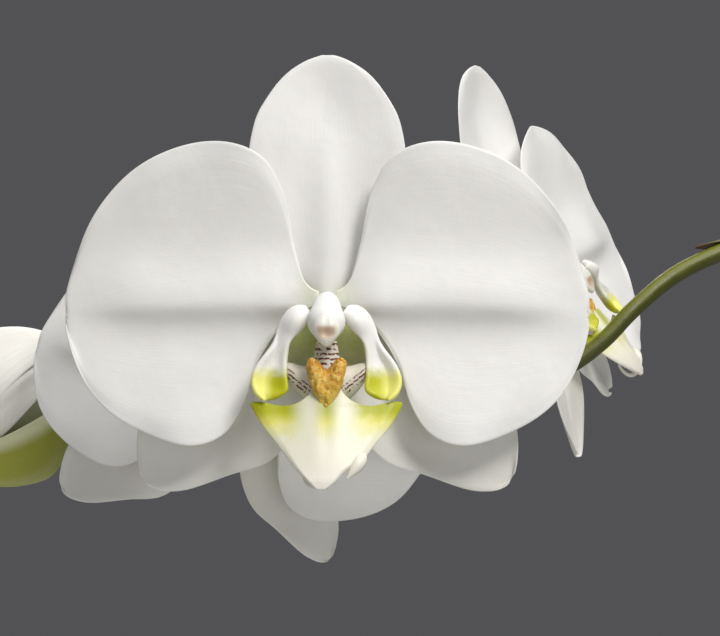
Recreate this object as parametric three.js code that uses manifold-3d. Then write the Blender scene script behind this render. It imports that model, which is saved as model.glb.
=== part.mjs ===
// Potted moth orchid: a glazed cover pot, a clear inner pot of bark, and a white-flowered plant
// whose spike is clipped to a bamboo stake.
// Millimetres, +Z up. The origin is the middle of the cover pot's flat foot. The flowers face -Y.
import * as THREE from 'three';
import { mergeVertices } from 'three/addons/utils/BufferGeometryUtils.js';
import Module from 'manifold-3d';

const wasm = await Module();
wasm.setup();

// ---------------------------------------------------------------- driving dimensions

const GAP = 0.3; // clearance between pieces that touch

const COVER_HEIGHT = 125;
const COVER_RIM_RADIUS = 65;
const COVER_FOOT_RADIUS = 47;
const COVER_WALL = 4;
const COVER_FLOOR = 5;
const COVER_EDGE = 2; // rounding of the foot's edge
const COVER_FLARE = 0.7; // under 1, the wall flares most near the foot

const INNER_POT_RECESS = 8; // inner pot's rim below the cover pot's rim
const INNER_POT_SIDE_GAP = 2.5;
const INNER_POT_WALL = 1.2;
const INNER_POT_LIP = 1.6; // how far the rim bead stands out
const DRAIN_HOLES = 6;
const DRAIN_HOLE_RADIUS = 4;
const DRAIN_RING_RADIUS = 26;

const BARK_BELOW_RIM = 6;
const BARK_DOME = 3;

const CROWN_BASE_RADIUS = 9;
const CROWN_TOP_RADIUS = 6;
const CROWN_DEPTH = 14; // buried in the bark
const CROWN_RISE = 56;

const LEAF_THICKNESS = 2.4;
const LEAF_BASE_WIDTH = 18;
const LEAF_FIRST_RISE = 13; // lowest leaf above the bark
const LEAF_SPACING = 8; // along the crown, from one leaf to the next
const LEAF_ROUND_BASE = 0.06; // share of the leaf's oval cut off at the base, so it starts with width
const LEAF_SHOULDER = 0.35; // share of the length at which the full width is reached
const LEAF_FULLNESS = 0.62; // under 1, the oval is fuller than a sine
const LEAF_LEAN = 0.85; // under 1, the widest place moves towards the tip
const LEAF_TIP_HALF = 1.2; // half width of the blunt tip
const LEAF_FOLD_AT_BASE = 0.42; // rise of the edges over the midrib, as a share of the half width
const LEAF_FOLD_AT_TIP = 0.14;

// lift is the angle at the crown, drop is how far the tip falls below that straight line
const LEAVES = [
  { length: 165, width: 70, lift: 24, drop: 62, turn: 8 },
  { length: 176, width: 74, lift: 26, drop: 66, turn: 186 },
  { length: 178, width: 76, lift: 36, drop: 84, turn: -12 },
  { length: 168, width: 72, lift: 40, drop: 76, turn: 170 },
  { length: 138, width: 62, lift: 54, drop: 58, turn: 4 },
  { length: 92, width: 46, lift: 66, drop: 22, turn: 184 },
];

const ROOT_RADIUS = 2.4;
const ROOT_TIP_RADIUS = 1.7;

const STAKE_RADIUS = 2.2;
const STAKE_TOP = 404;
const STAKE_ABOVE_FLOOR = 4;

const SPIKE_BASE_RADIUS = 2.5;
const SPIKE_TIP_RADIUS = 0.9;
const SPIKE_X = 4; // where the spike climbs beside the stake
const SPIKE_Y = 18;

const CLIP_WALL = 1.1;
const CLIP_WIDTH = 6;
const CLIP_HEIGHTS = [232, 352];

const TEPAL_THICKNESS = 1.0;
const LIP_THICKNESS = 1.5;
const SEPAL_SETBACK = 4.5; // sepals behind the petals
const COLUMN_BACK = 8; // how far the column reaches behind the petals
const PEDICEL_RADIUS = 1.6;
const PEDICEL_STRAIGHT = 3;
const CIRRUS_RADIUS = 0.75;
const BUD_PEDICEL_RADIUS = 1;
const BUD_BROADNESS = 0.12; // how much wider the bud's stalk end is than its tip

// Each flower: where its middle is, how it is turned (degrees), its size, and where its stalk
// joins the spike (share of the spike's length) by way of the listed points. pose holds the
// [swing, lean, size] of single pieces: a turn in the flower's plane, one out of it, and a scale.
const FLOWERS = {
  flower_1: {
    at: [-170, -58, 440], yaw: 0, pitch: 0, roll: 0, size: 1,
    joins: 0.8115,
    by: [[-161, -40, 452], [-154, -29, 451], [-153, -16, 432]],
    pose: {},
  },
  flower_2: {
    at: [-190.4, -26, 421.4], yaw: 2, pitch: -10, roll: 15, size: 0.82,
    joins: 0.836,
    by: [[-181, -10, 420]],
    pose: { right_lateral_sepal: [3, 0, 0.97], lip: [0, 0, 0.78] },
  },
  flower_3: {
    at: [-115.5, 35, 449], yaw: 61, pitch: -19, roll: -14, size: 1,
    joins: 0.791,
    by: [[-138, 32, 437], [-146, 8, 425]],
    pose: {
      dorsal_sepal: [12, -2, 1.05], lip: [0, -10, 0.78],
      right_lateral_sepal: [6, -9, 0.92], left_lateral_sepal: [-24, 0, 0.86],
    },
  },
};

// Buds: middle, length and radius, the way the tip points, and the stalk's joint.
const BUDS = {
  opening_bud: {
    at: [-247, 4, 415.5], length: 46, radius: 18.6, tip: [-1, -0.12, -0.1], joins: 0.9185,
    by: [[-220, 9, 417]],
  },
  bud_2: {
    at: [-265, 31, 438], length: 19, radius: 7.5, tip: [-0.6, 0.2, 0.8], joins: 0.976,
    by: [[-255, 28, 428]],
  },
  bud_3: {
    at: [-278, 25, 421], length: 12, radius: 4.6, tip: [-1, -0.2, -0.1], joins: 0.997,
    by: [[-268, 26.3, 423]],
  },
};

// ---------------------------------------------------------------- outlines

// Edges run from the claw to the tip as [across, up] in the flower's plane; the left-hand
// tepals are mirrored.
const PETAL_UPPER = [
  [3.8, 2], [7, 12], [9, 22], [13.5, 30], [22, 33.2],
  [32, 31.8], [42, 26.2], [50, 16], [54.6, 3], [55, -2.5],
];
const PETAL_LOWER = [
  [3.8, -1.6], [10, -6], [15, -14], [17.5, -22], [22, -28.5],
  [30, -30.4], [42, -26], [50, -19], [54.4, -9], [55, -5],
];
const DORSAL_EDGE = [
  [4.6, 4], [10, 9], [15, 18], [16.8, 28], [15.5, 37.5], [12.8, 43], [9, 47.9], [4.6, 50.9], [1, 52.1],
];
const LATERAL_OUTER = [
  [4.2, -1.8], [16, -3.6], [28, -9], [36.5, -17.5], [40, -26.5], [40.3, -33], [39.6, -37],
];
const LATERAL_INNER = [
  [1.6, -4.6], [3.4, -16], [6.6, -27], [12, -34], [20.5, -37], [30, -40.3], [36, -40.4], [38.6, -38.8],
];
const MIDLOBE_EDGE = [
  [5, -15], [8, -19.5], [15.4, -21.8], [15.2, -23.8], [10.6, -29], [7, -33.8], [3.4, -37.4], [1, -39.2],
];
const SIDE_LOBE_OUTER = [[5.4, -1.8], [8.6, -5.6], [12.4, -10.4], [15, -15], [15.2, -18.2], [13.4, -20.4]];
const SIDE_LOBE_INNER = [[4.2, -3.4], [7.4, -7], [8, -12], [8.4, -16], [8.8, -19], [10.8, -20.2]];

// One curled whisker at the lip's tip, from its root on; the other is its mirror image.
const CIRRUS_ROUTE = [[2.4, -21.4, -39.6], [4.6, -19.6, -38.4], [4.8, -17.4, -35.4]];

const innerPotTop = COVER_HEIGHT - INNER_POT_RECESS;
const barkTop = innerPotTop - BARK_BELOW_RIM;

// The spike, from inside the crown to its tip.
const SPIKE_ROUTE = [
  [0, 6, barkTop + 15], [1, 13, barkTop + 27], [SPIKE_X - 0.6, SPIKE_Y - 1, barkTop + 47],
  [SPIKE_X, SPIKE_Y, barkTop + 79],
  [SPIKE_X, SPIKE_Y, 260], [SPIKE_X, SPIKE_Y, 330], [SPIKE_X, SPIKE_Y, 385], [1, 16.5, 412],
  [-10, 13, 434], [-30, 7, 451], [-54, 1, 457.4], [-70, -3, 455], [-81, -6, 451], [-92, -10.5, 445.7],
  [-101.6, -15, 438], [-108.6, -17.6, 431], [-117, -19.6, 425], [-132, -20.5, 418.6],
  [-154, -12, 414.8], [-177, 0, 413.6], [-197, 9, 414.2], [-217, 17, 416], [-235, 22.6, 418.6],
  [-250, 25.6, 421.4], [-262, 26.6, 423.6],
];

// Roots, from inside the crown to the tip, as [x, y, height above the bark], drawn for the rim
// radius ROOTS_RIM_RADIUS: a wider or narrower pot spreads or gathers them.
const ROOTS_RIM_RADIUS = 65;
const ROOT_ROUTES = [
  [[-2, -4, 7], [-10, -16, 12], [-20, -30, 8], [-26, -38, -3], [-28, -41, -19]],
  [[4, -4, 6], [18, -14, 10], [32, -20, 11], [41, -22, 1], [42, -22, -15]],
  [[-3, 3, 11], [-14, 22, 19], [-30, 48, 25], [-40, 62, 19], [-45, 69, 1], [-46, 70, -21]],
  [[3, -5, 11], [12, -22, 19], [16, -40, 25], [14, -56, 28], [10, -66, 35]],
].map((route) => route.map(([x, y, z]) => {
  const spread = COVER_RIM_RADIUS / ROOTS_RIM_RADIUS;
  return [x * spread, y * spread, barkTop + z];
}));

// ---------------------------------------------------------------- helpers

const rad = THREE.MathUtils.degToRad;
const vec = (p) => new THREE.Vector3(p[0], p[1], p[2]);
const curveOf = (points) => new THREE.CatmullRomCurve3(points.map(vec), false, 'centripetal');

// Six times the signed volume: negative when the faces point inwards.
function signedVolume(geometry) {
  const position = geometry.attributes.position;
  const [a, b, c] = [new THREE.Vector3(), new THREE.Vector3(), new THREE.Vector3()];
  let total = 0;
  for (let i = 0; i < geometry.index.count; i += 3) {
    a.fromBufferAttribute(position, geometry.index.getX(i));
    b.fromBufferAttribute(position, geometry.index.getX(i + 1));
    c.fromBufferAttribute(position, geometry.index.getX(i + 2));
    total += a.dot(b.cross(c));
  }
  return total;
}

// Welds a geometry into one closed body whose faces point outwards.
function weld(geometry) {
  geometry.deleteAttribute('normal');
  geometry.deleteAttribute('uv');
  const merged = mergeVertices(geometry, 1e-3);
  const index = merged.index.array;
  const kept = [];
  for (let i = 0; i < index.length; i += 3) {
    const [a, b, c] = [index[i], index[i + 1], index[i + 2]];
    if (a !== b && b !== c && c !== a) {
      kept.push(a, b, c);
    }
  }
  merged.setIndex(kept);
  if (signedVolume(merged) < 0) {
    merged.setIndex(kept.reverse());
  }
  return merged;
}

function toManifold(geometry) {
  const solid = weld(geometry.clone());
  return new wasm.Manifold(new wasm.Mesh({
    numProp: 3,
    vertProperties: new Float32Array(solid.attributes.position.array),
    triVerts: new Uint32Array(solid.index.array),
  }));
}

function fromManifold(manifold) {
  const mesh = manifold.getMesh();
  const geometry = new THREE.BufferGeometry();
  geometry.setAttribute('position', new THREE.BufferAttribute(mesh.vertProperties, 3));
  geometry.setIndex(new THREE.BufferAttribute(mesh.triVerts, 1));
  return geometry;
}

// body with every tool cut out of it
function cut(body, tools) {
  return fromManifold(tools.reduce((rest, tool) => rest.subtract(toManifold(tool)), toManifold(body)));
}

function join(pieces) {
  return fromManifold(pieces.map(toManifold).reduce((sum, piece) => sum.add(piece)));
}

// A body of revolution about Z from [radius, height] points.
function turned(profile, segments) {
  const points = profile.map(([r, z]) => new THREE.Vector2(r, z));
  return weld(new THREE.LatheGeometry(points, segments).rotateX(Math.PI / 2));
}

// A round stem along a curve, whose radius follows radiusAt(share of its length).
function stem(curve, radiusAt, steps, sides) {
  const geometry = new THREE.CylinderGeometry(1, 1, 1, sides, steps);
  const frames = curve.computeFrenetFrames(steps);
  const position = geometry.attributes.position;
  for (let i = 0; i < position.count; i++) {
    const share = 0.5 - position.getY(i);
    const row = Math.round(share * steps);
    const radius = radiusAt(share);
    const point = curve.getPointAt(share);
    point.addScaledVector(frames.normals[row], position.getX(i) * radius);
    point.addScaledVector(frames.binormals[row], position.getZ(i) * radius);
    position.setXYZ(i, point.x, point.y, point.z);
  }
  return weld(geometry);
}

// A thin blade: place(share along, share across from -1 to 1, 0 front or 1 back) gives each point.
function blade(place, across, along) {
  const geometry = new THREE.BoxGeometry(2, 1, 1, across, 1, along);
  const position = geometry.attributes.position;
  for (let i = 0; i < position.count; i++) {
    const point = place(position.getZ(i) + 0.5, position.getX(i), position.getY(i) + 0.5);
    position.setXYZ(i, point.x, point.y, point.z);
  }
  return weld(geometry);
}

// A blade between two edges given as [across, up]; depth(x, z) is how far back its front face is.
function bladeBetween(edgeA, edgeB, depth, thickness, across, along) {
  const splineOf = (edge) => new THREE.SplineCurve(edge.map(([x, z]) => new THREE.Vector2(x, z)));
  const splineA = splineOf(edgeA);
  const splineB = splineOf(edgeB);
  const place = (share, side, back) => {
    const p = splineA.getPointAt(share).lerp(splineB.getPointAt(share), (side + 1) / 2);
    return new THREE.Vector3(p.x, depth(p.x, p.y) + back * thickness, p.y);
  };
  return blade(place, across, along);
}

const mirrored = (edge) => edge.map(([x, z]) => [-x, z]);

function ball(at, radii, segments) {
  return weld(new THREE.SphereGeometry(1, segments, segments / 2)
    .scale(radii[0], radii[1], radii[2]).translate(at[0], at[1], at[2]));
}

// ---------------------------------------------------------------- group and colours

const plant = new THREE.Group();

function add(parent, name, geometry, color, roughness) {
  const mesh = new THREE.Mesh(geometry, new THREE.MeshStandardMaterial({ color, roughness, metalness: 0 }));
  mesh.name = name;
  parent.add(mesh);
  return mesh;
}

const GLAZE = 0xdedad2;
const CLEAR = 0xe6ebec;
const BARK = 0x6b4630;
const LEAF = 0x3f6a2c;
const ROOT = 0xa9b3a0;
const STEM = 0x7d8232;
const BAMBOO = 0xc9a866;
const WHITE = 0xeceae6;
const CREAM = 0xe8e2cf;
const BUD = 0xb9bd7a;

// ---------------------------------------------------------------- pots and bark

const coverRadius = (z) => COVER_FOOT_RADIUS
  + (COVER_RIM_RADIUS - COVER_FOOT_RADIUS) * (z / COVER_HEIGHT) ** COVER_FLARE;
const insideRadius = (z) => coverRadius(z) - COVER_WALL;

function coverPot() {
  const profile = [[0, 0], [COVER_FOOT_RADIUS - COVER_EDGE, 0]];
  const steps = 6;
  for (let i = 0; i <= steps; i++) {
    const z = COVER_EDGE + (COVER_HEIGHT - 2 * COVER_EDGE) * (i / steps);
    profile.push([coverRadius(z), z]);
  }
  profile.push([COVER_RIM_RADIUS - COVER_WALL * 0.3, COVER_HEIGHT]);
  profile.push([COVER_RIM_RADIUS - COVER_WALL * 0.7, COVER_HEIGHT]);
  for (let i = steps; i >= 0; i--) {
    const z = COVER_FLOOR + (COVER_HEIGHT - COVER_EDGE - COVER_FLOOR) * (i / steps);
    profile.push([insideRadius(z), z]);
  }
  profile.push([0, COVER_FLOOR]);
  return turned(profile, 32);
}

const innerPotBottom = COVER_FLOOR + GAP;
const innerPotRadius = (z) => insideRadius(z) - INNER_POT_SIDE_GAP - INNER_POT_LIP;

function innerPot() {
  const bead = 2 * INNER_POT_LIP;
  const profile = [
    [0, innerPotBottom],
    [innerPotRadius(innerPotBottom), innerPotBottom],
    [innerPotRadius(innerPotTop / 2), innerPotTop / 2],
    [innerPotRadius(innerPotTop), innerPotTop - bead],
    [innerPotRadius(innerPotTop) + INNER_POT_LIP, innerPotTop - bead],
    [innerPotRadius(innerPotTop) + INNER_POT_LIP, innerPotTop],
    [innerPotRadius(innerPotTop) - INNER_POT_WALL, innerPotTop],
    [innerPotRadius(innerPotTop / 2) - INNER_POT_WALL, innerPotTop / 2],
    [innerPotRadius(innerPotBottom) - INNER_POT_WALL, innerPotBottom + INNER_POT_WALL],
    [0, innerPotBottom + INNER_POT_WALL],
  ];
  const drills = [];
  for (let i = 0; i < DRAIN_HOLES; i++) {
    const turn = (i / DRAIN_HOLES) * 2 * Math.PI;
    const drill = new THREE.CylinderGeometry(DRAIN_HOLE_RADIUS, DRAIN_HOLE_RADIUS, 4 * INNER_POT_WALL, 10);
    drill.rotateX(Math.PI / 2);
    drill.translate(DRAIN_RING_RADIUS * Math.cos(turn), DRAIN_RING_RADIUS * Math.sin(turn), innerPotBottom);
    drills.push(drill);
  }
  return cut(turned(profile, 32), drills);
}

function bark() {
  const inside = (z) => innerPotRadius(z) - INNER_POT_WALL - 2 * GAP;
  const bottom = innerPotBottom + INNER_POT_WALL + GAP;
  return turned([
    [0, bottom],
    [inside(bottom) - 2 * GAP, bottom],
    [inside(innerPotTop / 2) - 2 * GAP, innerPotTop / 2],
    [inside(barkTop) - 2 * GAP, barkTop - BARK_DOME],
    [inside(barkTop) * 0.6, barkTop - BARK_DOME * 0.3],
    [0, barkTop],
  ], 28);
}

// ---------------------------------------------------------------- crown, leaves, roots, stake

const crownRadius = (z) => THREE.MathUtils.mapLinear(
  z, barkTop - CROWN_DEPTH, barkTop + CROWN_RISE, CROWN_BASE_RADIUS, CROWN_TOP_RADIUS);

function crown(margin) {
  const bottom = barkTop - CROWN_DEPTH - margin;
  const top = barkTop + CROWN_RISE + margin;
  return turned([
    [0, bottom],
    [crownRadius(bottom) - 2 + margin, bottom],
    [crownRadius(bottom + 3) + margin, bottom + 3],
    [crownRadius(top - 4) + margin, top - 4],
    [crownRadius(top) - 2.5 + margin, top],
    [0, top],
  ], 16);
}

// The leaf's oval, as a share of its full half width.
const leafOval = (share) => Math.sin(
  Math.PI * (LEAF_ROUND_BASE + share * (1 - LEAF_ROUND_BASE)) ** LEAF_LEAN) ** LEAF_FULLNESS;

// A leaf arches from the crown, folded up along its midrib, and its base stands upright on the crown.
function leaf(form, number) {
  const z = barkTop + LEAF_FIRST_RISE + number * LEAF_SPACING;
  const lift = rad(form.lift);
  const start = new THREE.Vector3(crownRadius(z) + GAP, 0, z);
  const along = new THREE.Vector3(Math.cos(lift), 0, Math.sin(lift));
  const middle = start.clone().addScaledVector(along, form.length / 2);
  const tip = start.clone().addScaledVector(along, form.length);
  tip.z -= form.drop;
  const spine = new THREE.QuadraticBezierCurve3(start, middle, tip);
  const halfWidth = (share) => {
    const full = THREE.MathUtils.lerp(LEAF_BASE_WIDTH, form.width, Math.min(1, share / LEAF_SHOULDER)) / 2;
    const oval = share < LEAF_SHOULDER ? 1 : leafOval(share) / leafOval(LEAF_SHOULDER);
    return Math.max(LEAF_TIP_HALF, full * oval);
  };
  const place = (share, side, back) => {
    const half = halfWidth(share);
    const opened = Math.min(1, share / LEAF_SHOULDER);
    const fold = THREE.MathUtils.lerp(LEAF_FOLD_AT_BASE, LEAF_FOLD_AT_TIP, opened);
    const height = Math.abs(side) * half * fold - back * LEAF_THICKNESS;
    const tangent = spine.getTangentAt(share);
    const up = share === 0 ? new THREE.Vector3(0, 0, 1) : new THREE.Vector3(-tangent.z, 0, tangent.x);
    const point = spine.getPointAt(share).addScaledVector(up, height);
    point.y += side * half;
    return point;
  };
  return blade(place, 4, 10).rotateZ(rad(form.turn));
}

const spikeCurve = curveOf(SPIKE_ROUTE);
const spikeRadius = (share) => THREE.MathUtils.lerp(SPIKE_BASE_RADIUS, SPIKE_TIP_RADIUS, share ** 1.3);
const spike = (margin) => stem(spikeCurve, (share) => spikeRadius(share) + margin, 64, 8);

const stakeY = SPIKE_Y + SPIKE_BASE_RADIUS + STAKE_RADIUS + GAP;
const stakeBottom = innerPotBottom + STAKE_ABOVE_FLOOR;

function stake(margin) {
  const radius = STAKE_RADIUS + margin;
  const length = STAKE_TOP - stakeBottom + 2 * margin;
  const geometry = new THREE.CylinderGeometry(radius, radius, length, 12).rotateX(Math.PI / 2);
  return weld(geometry.translate(SPIKE_X, stakeY, (STAKE_TOP + stakeBottom) / 2));
}

// A clip is a flat ring round the spike and the stake.
function clip(z) {
  const near = SPIKE_Y;
  const far = stakeY;
  const outline = (path, radius) => {
    path.absarc(SPIKE_X, near, radius, Math.PI, 2 * Math.PI, false);
    path.absarc(SPIKE_X, far, radius, 0, Math.PI, false);
    path.closePath();
  };
  const shape = new THREE.Shape();
  outline(shape, SPIKE_BASE_RADIUS + GAP + CLIP_WALL);
  const hole = new THREE.Path();
  outline(hole, SPIKE_BASE_RADIUS + GAP);
  shape.holes.push(hole);
  const settings = { depth: CLIP_WIDTH, bevelEnabled: false, curveSegments: 4 };
  const geometry = new THREE.ExtrudeGeometry(shape, settings);
  return weld(geometry.translate(0, 0, z - CLIP_WIDTH / 2));
}

const rootTube = (route, margin) => stem(
  curveOf(route), (share) => THREE.MathUtils.lerp(ROOT_RADIUS, ROOT_TIP_RADIUS, share) + margin, 14, 6);

// ---------------------------------------------------------------- flowers

// How far back the petals and sepals lie at a point of the flower's plane.
const petalDepth = (x, z) => 2 * (x / 55) ** 2 + 1.5 * (z / 33) ** 2;
const dorsalDepth = (x, z) => SEPAL_SETBACK + 3 * (z / 52) ** 2 - 1.2 * (x / 17) ** 2;
const lateralDepth = (x, z) => SEPAL_SETBACK + 3 * ((x * x + z * z) / 54 ** 2);
const midlobeDepth = (x, z) => -9 + 0.5 * (z + 15) + 0.02 * x * x;
const sideLobeDepth = (x, z) => -4 + 0.36 * (z + 2) - 0.3 * (12 - Math.abs(x));

const tepal = (edgeA, edgeB, depth) => bladeBetween(edgeA, edgeB, depth, TEPAL_THICKNESS, 6, 8);

function column() {
  const line = curveOf([[0, COLUMN_BACK, 0], [0, 4, 0], [0, -4, -0.6], [0, -9, -3], [0, -11, -4.6]]);
  return stem(line, (share) => 2.6 + 1.5 * share, 6, 9);
}

function lip() {
  const claw = ball([0, -7.6, -15.8], [10.6, 5.4, 5], 8);
  const midlobe = bladeBetween(MIDLOBE_EDGE, mirrored(MIDLOBE_EDGE), midlobeDepth, LIP_THICKNESS, 4, 7);
  const lobes = [SIDE_LOBE_OUTER, mirrored(SIDE_LOBE_OUTER)].map((outer, i) => {
    const inner = i === 0 ? SIDE_LOBE_INNER : mirrored(SIDE_LOBE_INNER);
    return bladeBetween(outer, inner, sideLobeDepth, LIP_THICKNESS, 2, 5);
  });
  const cirri = [-1, 1].map((side) => {
    const root = [side * 0.6, midlobeDepth(0, -38) + 0.8, -38];
    const route = [root, ...CIRRUS_ROUTE.map(([x, y, z]) => [side * x, y, z])];
    return stem(curveOf(route), (share) => CIRRUS_RADIUS * (1 - 0.4 * share), 5, 5);
  });
  return join([claw, midlobe, ...lobes, ...cirri]);
}

// Where and how the flower stands, as a matrix.
function flowerGroup(form) {
  const group = new THREE.Group();
  group.position.set(...form.at);
  group.rotation.set(rad(form.pitch), rad(form.roll), rad(form.yaw), 'ZXY');
  group.scale.setScalar(form.size);
  group.updateMatrixWorld();
  return group;
}

// A stalk that leaves a start point straight along a direction, then runs by way of the listed
// points to the surface of the spike.
function pedicel(start, direction, form, radiusAt) {
  const end = spikeCurve.getPointAt(form.joins);
  const straight = start.clone().addScaledVector(direction, PEDICEL_STRAIGHT);
  const route = new THREE.CatmullRomCurve3([start, straight, ...form.by.map(vec), end], false, 'centripetal');
  return cut(stem(route, radiusAt, 9, 7), [spike(GAP)]);
}

function addFlower(name, form) {
  const group = flowerGroup(form);
  plant.add(group);
  const posed = (part, geometry, color = WHITE) => {
    const [swing, lean, size] = form.pose[part] ?? [0, 0, 1];
    const mesh = add(group, `${name}_${part}`, geometry, color, 0.5);
    mesh.rotation.set(rad(-lean), rad(swing), 0);
    mesh.scale.setScalar(size);
  };
  posed('dorsal_sepal', tepal(DORSAL_EDGE, mirrored(DORSAL_EDGE), dorsalDepth));
  posed('right_petal', tepal(PETAL_UPPER, PETAL_LOWER, petalDepth));
  posed('left_petal', tepal(mirrored(PETAL_UPPER), mirrored(PETAL_LOWER), petalDepth));
  posed('right_lateral_sepal', tepal(LATERAL_OUTER, LATERAL_INNER, lateralDepth));
  posed('left_lateral_sepal', tepal(mirrored(LATERAL_OUTER), mirrored(LATERAL_INNER), lateralDepth));
  add(group, `${name}_column`, column(), WHITE, 0.4);
  add(group, `${name}_anther_cap`, ball([0, -14.2, -6.4], [2.8, 2.1, 3.4], 8), CREAM, 0.4);
  posed('lip', lip(), CREAM);
  const back = new THREE.Vector3(0, COLUMN_BACK + 2 * GAP, 0).applyMatrix4(group.matrixWorld);
  const backwards = new THREE.Vector3(0, 1, 0).applyQuaternion(group.quaternion);
  const radiusAt = (share) => THREE.MathUtils.lerp(PEDICEL_RADIUS * 1.25, PEDICEL_RADIUS * 0.9, share);
  add(plant, `${name}_pedicel`, pedicel(back, backwards, form, radiusAt), STEM, 0.5);
}

// A bud is an egg whose broad end is at its stalk.
function addBud(name, form) {
  const profile = [];
  const steps = 9;
  for (let i = 0; i <= steps; i++) {
    const angle = (i / steps) * Math.PI;
    const radius = form.radius * Math.sin(angle) * (1 + BUD_BROADNESS * Math.cos(angle));
    profile.push([radius, -form.length / 2 * Math.cos(angle)]);
  }
  const bud = add(plant, name, turned(profile, 14), BUD, 0.5);
  const tip = vec(form.tip).normalize();
  bud.position.set(...form.at);
  bud.quaternion.setFromUnitVectors(new THREE.Vector3(0, 0, 1), tip);
  const base = vec(form.at).addScaledVector(tip, -form.length / 2 - GAP);
  const radiusAt = () => BUD_PEDICEL_RADIUS;
  add(plant, `${name}_pedicel`, pedicel(base, tip.negate(), form, radiusAt), STEM, 0.5);
}

// ---------------------------------------------------------------- assembly

add(plant, 'cover_pot', coverPot(), GLAZE, 0.3);
add(plant, 'nursery_pot', innerPot(), CLEAR, 0.2);
add(plant, 'bark_medium', cut(bark(), [
  crown(GAP), stake(GAP), ...ROOT_ROUTES.map((route) => rootTube(route, GAP)),
]), BARK, 0.9);
add(plant, 'crown', crown(0), LEAF, 0.5);
LEAVES.forEach((form, i) => add(plant, `leaf_${i + 1}`, leaf(form, i), LEAF, 0.4));
ROOT_ROUTES.forEach((route, i) => {
  add(plant, `aerial_root_${i + 1}`, cut(rootTube(route, 0), [crown(GAP)]), ROOT, 0.7);
});
add(plant, 'flower_spike', cut(spike(0), [crown(GAP)]), STEM, 0.5);
add(plant, 'bamboo_stake', stake(0), BAMBOO, 0.6);
CLIP_HEIGHTS.forEach((z, i) => add(plant, `stake_clip_${i + 1}`, clip(z), LEAF, 0.3));
Object.entries(FLOWERS).forEach(([name, form]) => addFlower(name, form));
Object.entries(BUDS).forEach(([name, form]) => addBud(name, form));

export default plant;
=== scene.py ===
"""Potted moth orchid: a glazed cover pot, a clear inner pot of bark, strap leaves and roots on a
short crown, and a spike clipped to a bamboo stake that carries three open flowers and three buds.
Lengths are in millimetres until a piece is placed; MM turns them into metres."""
import math
import random

import bpy
import numpy as np
from mathutils import Matrix, Vector, noise


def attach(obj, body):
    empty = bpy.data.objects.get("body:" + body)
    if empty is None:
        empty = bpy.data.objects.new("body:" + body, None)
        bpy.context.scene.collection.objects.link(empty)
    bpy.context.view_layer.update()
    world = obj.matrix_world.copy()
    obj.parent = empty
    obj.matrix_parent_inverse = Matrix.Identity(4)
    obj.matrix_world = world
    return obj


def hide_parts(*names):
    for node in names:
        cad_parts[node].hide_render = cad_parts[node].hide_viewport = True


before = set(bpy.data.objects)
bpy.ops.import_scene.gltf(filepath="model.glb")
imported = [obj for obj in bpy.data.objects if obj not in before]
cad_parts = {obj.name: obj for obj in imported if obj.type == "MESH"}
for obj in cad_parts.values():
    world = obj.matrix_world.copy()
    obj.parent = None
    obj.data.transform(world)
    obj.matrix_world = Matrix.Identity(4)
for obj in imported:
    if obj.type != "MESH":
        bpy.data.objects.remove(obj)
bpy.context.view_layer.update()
random.seed(11)

MM = 0.001

# ---------------------------------------------------------------- driving dimensions

COVER_HEIGHT = 125
RIM_RADIUS = 65
FOOT_RADIUS = 47
COVER_WALL = 4
COVER_FLOOR = 5
COVER_FLARE = 0.7

INNER_RECESS = 8
INNER_TOP = COVER_HEIGHT - INNER_RECESS
INNER_BOTTOM = 5.3
INNER_SIDE_GAP = 2.5
INNER_WALL = 1.2
INNER_LIP = 1.6
DRAIN_HOLES = 6
DRAIN_HOLE_RADIUS = 4
DRAIN_RING_RADIUS = 26

BARK_BELOW_RIM = 6
BARK_TOP = INNER_TOP - BARK_BELOW_RIM
BARK_GAP = 0.6
CHIP_COUNT = 190

CROWN_DEPTH = 14
CROWN_RISE = 56
CROWN_BASE_RADIUS = 9
CROWN_TOP_RADIUS = 6

LEAF_THICKNESS = 2.2
LEAF_BASE_WIDTH = 18
LEAF_FIRST_RISE = 13
LEAF_SPACING = 8
LEAF_SHOULDER = 0.35
LEAF_ROUND_BASE = 0.06
LEAF_LEAN = 0.85
LEAF_FULLNESS = 0.62
LEAF_FOLD_AT_BASE = 0.42
LEAF_FOLD_AT_TIP = 0.14
LEAVES = [
    dict(length=165, width=70, lift=24, drop=62, turn=8),
    dict(length=176, width=74, lift=26, drop=66, turn=186),
    dict(length=178, width=76, lift=36, drop=84, turn=-12),
    dict(length=168, width=72, lift=40, drop=76, turn=170),
    dict(length=138, width=62, lift=54, drop=58, turn=4),
    dict(length=92, width=46, lift=66, drop=22, turn=184),
]

ROOT_RADIUS = 2.4
ROOT_TIP_RADIUS = 1.7
# Each root from inside the crown to its tip, as (x, y, height above the bark).
ROOT_ROUTES = [
    [(-2, -4, 7), (-10, -16, 12), (-20, -30, 8), (-26, -38, -3), (-28, -41, -19)],
    [(4, -4, 6), (18, -14, 10), (32, -20, 11), (41, -22, 1), (42, -22, -15)],
    [(-3, 3, 11), (-14, 22, 19), (-30, 48, 25), (-40, 62, 19), (-45, 69, 1), (-46, 70, -21)],
    [(3, -5, 11), (12, -22, 19), (16, -40, 25), (14, -56, 28), (10, -66, 35)],
]

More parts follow.
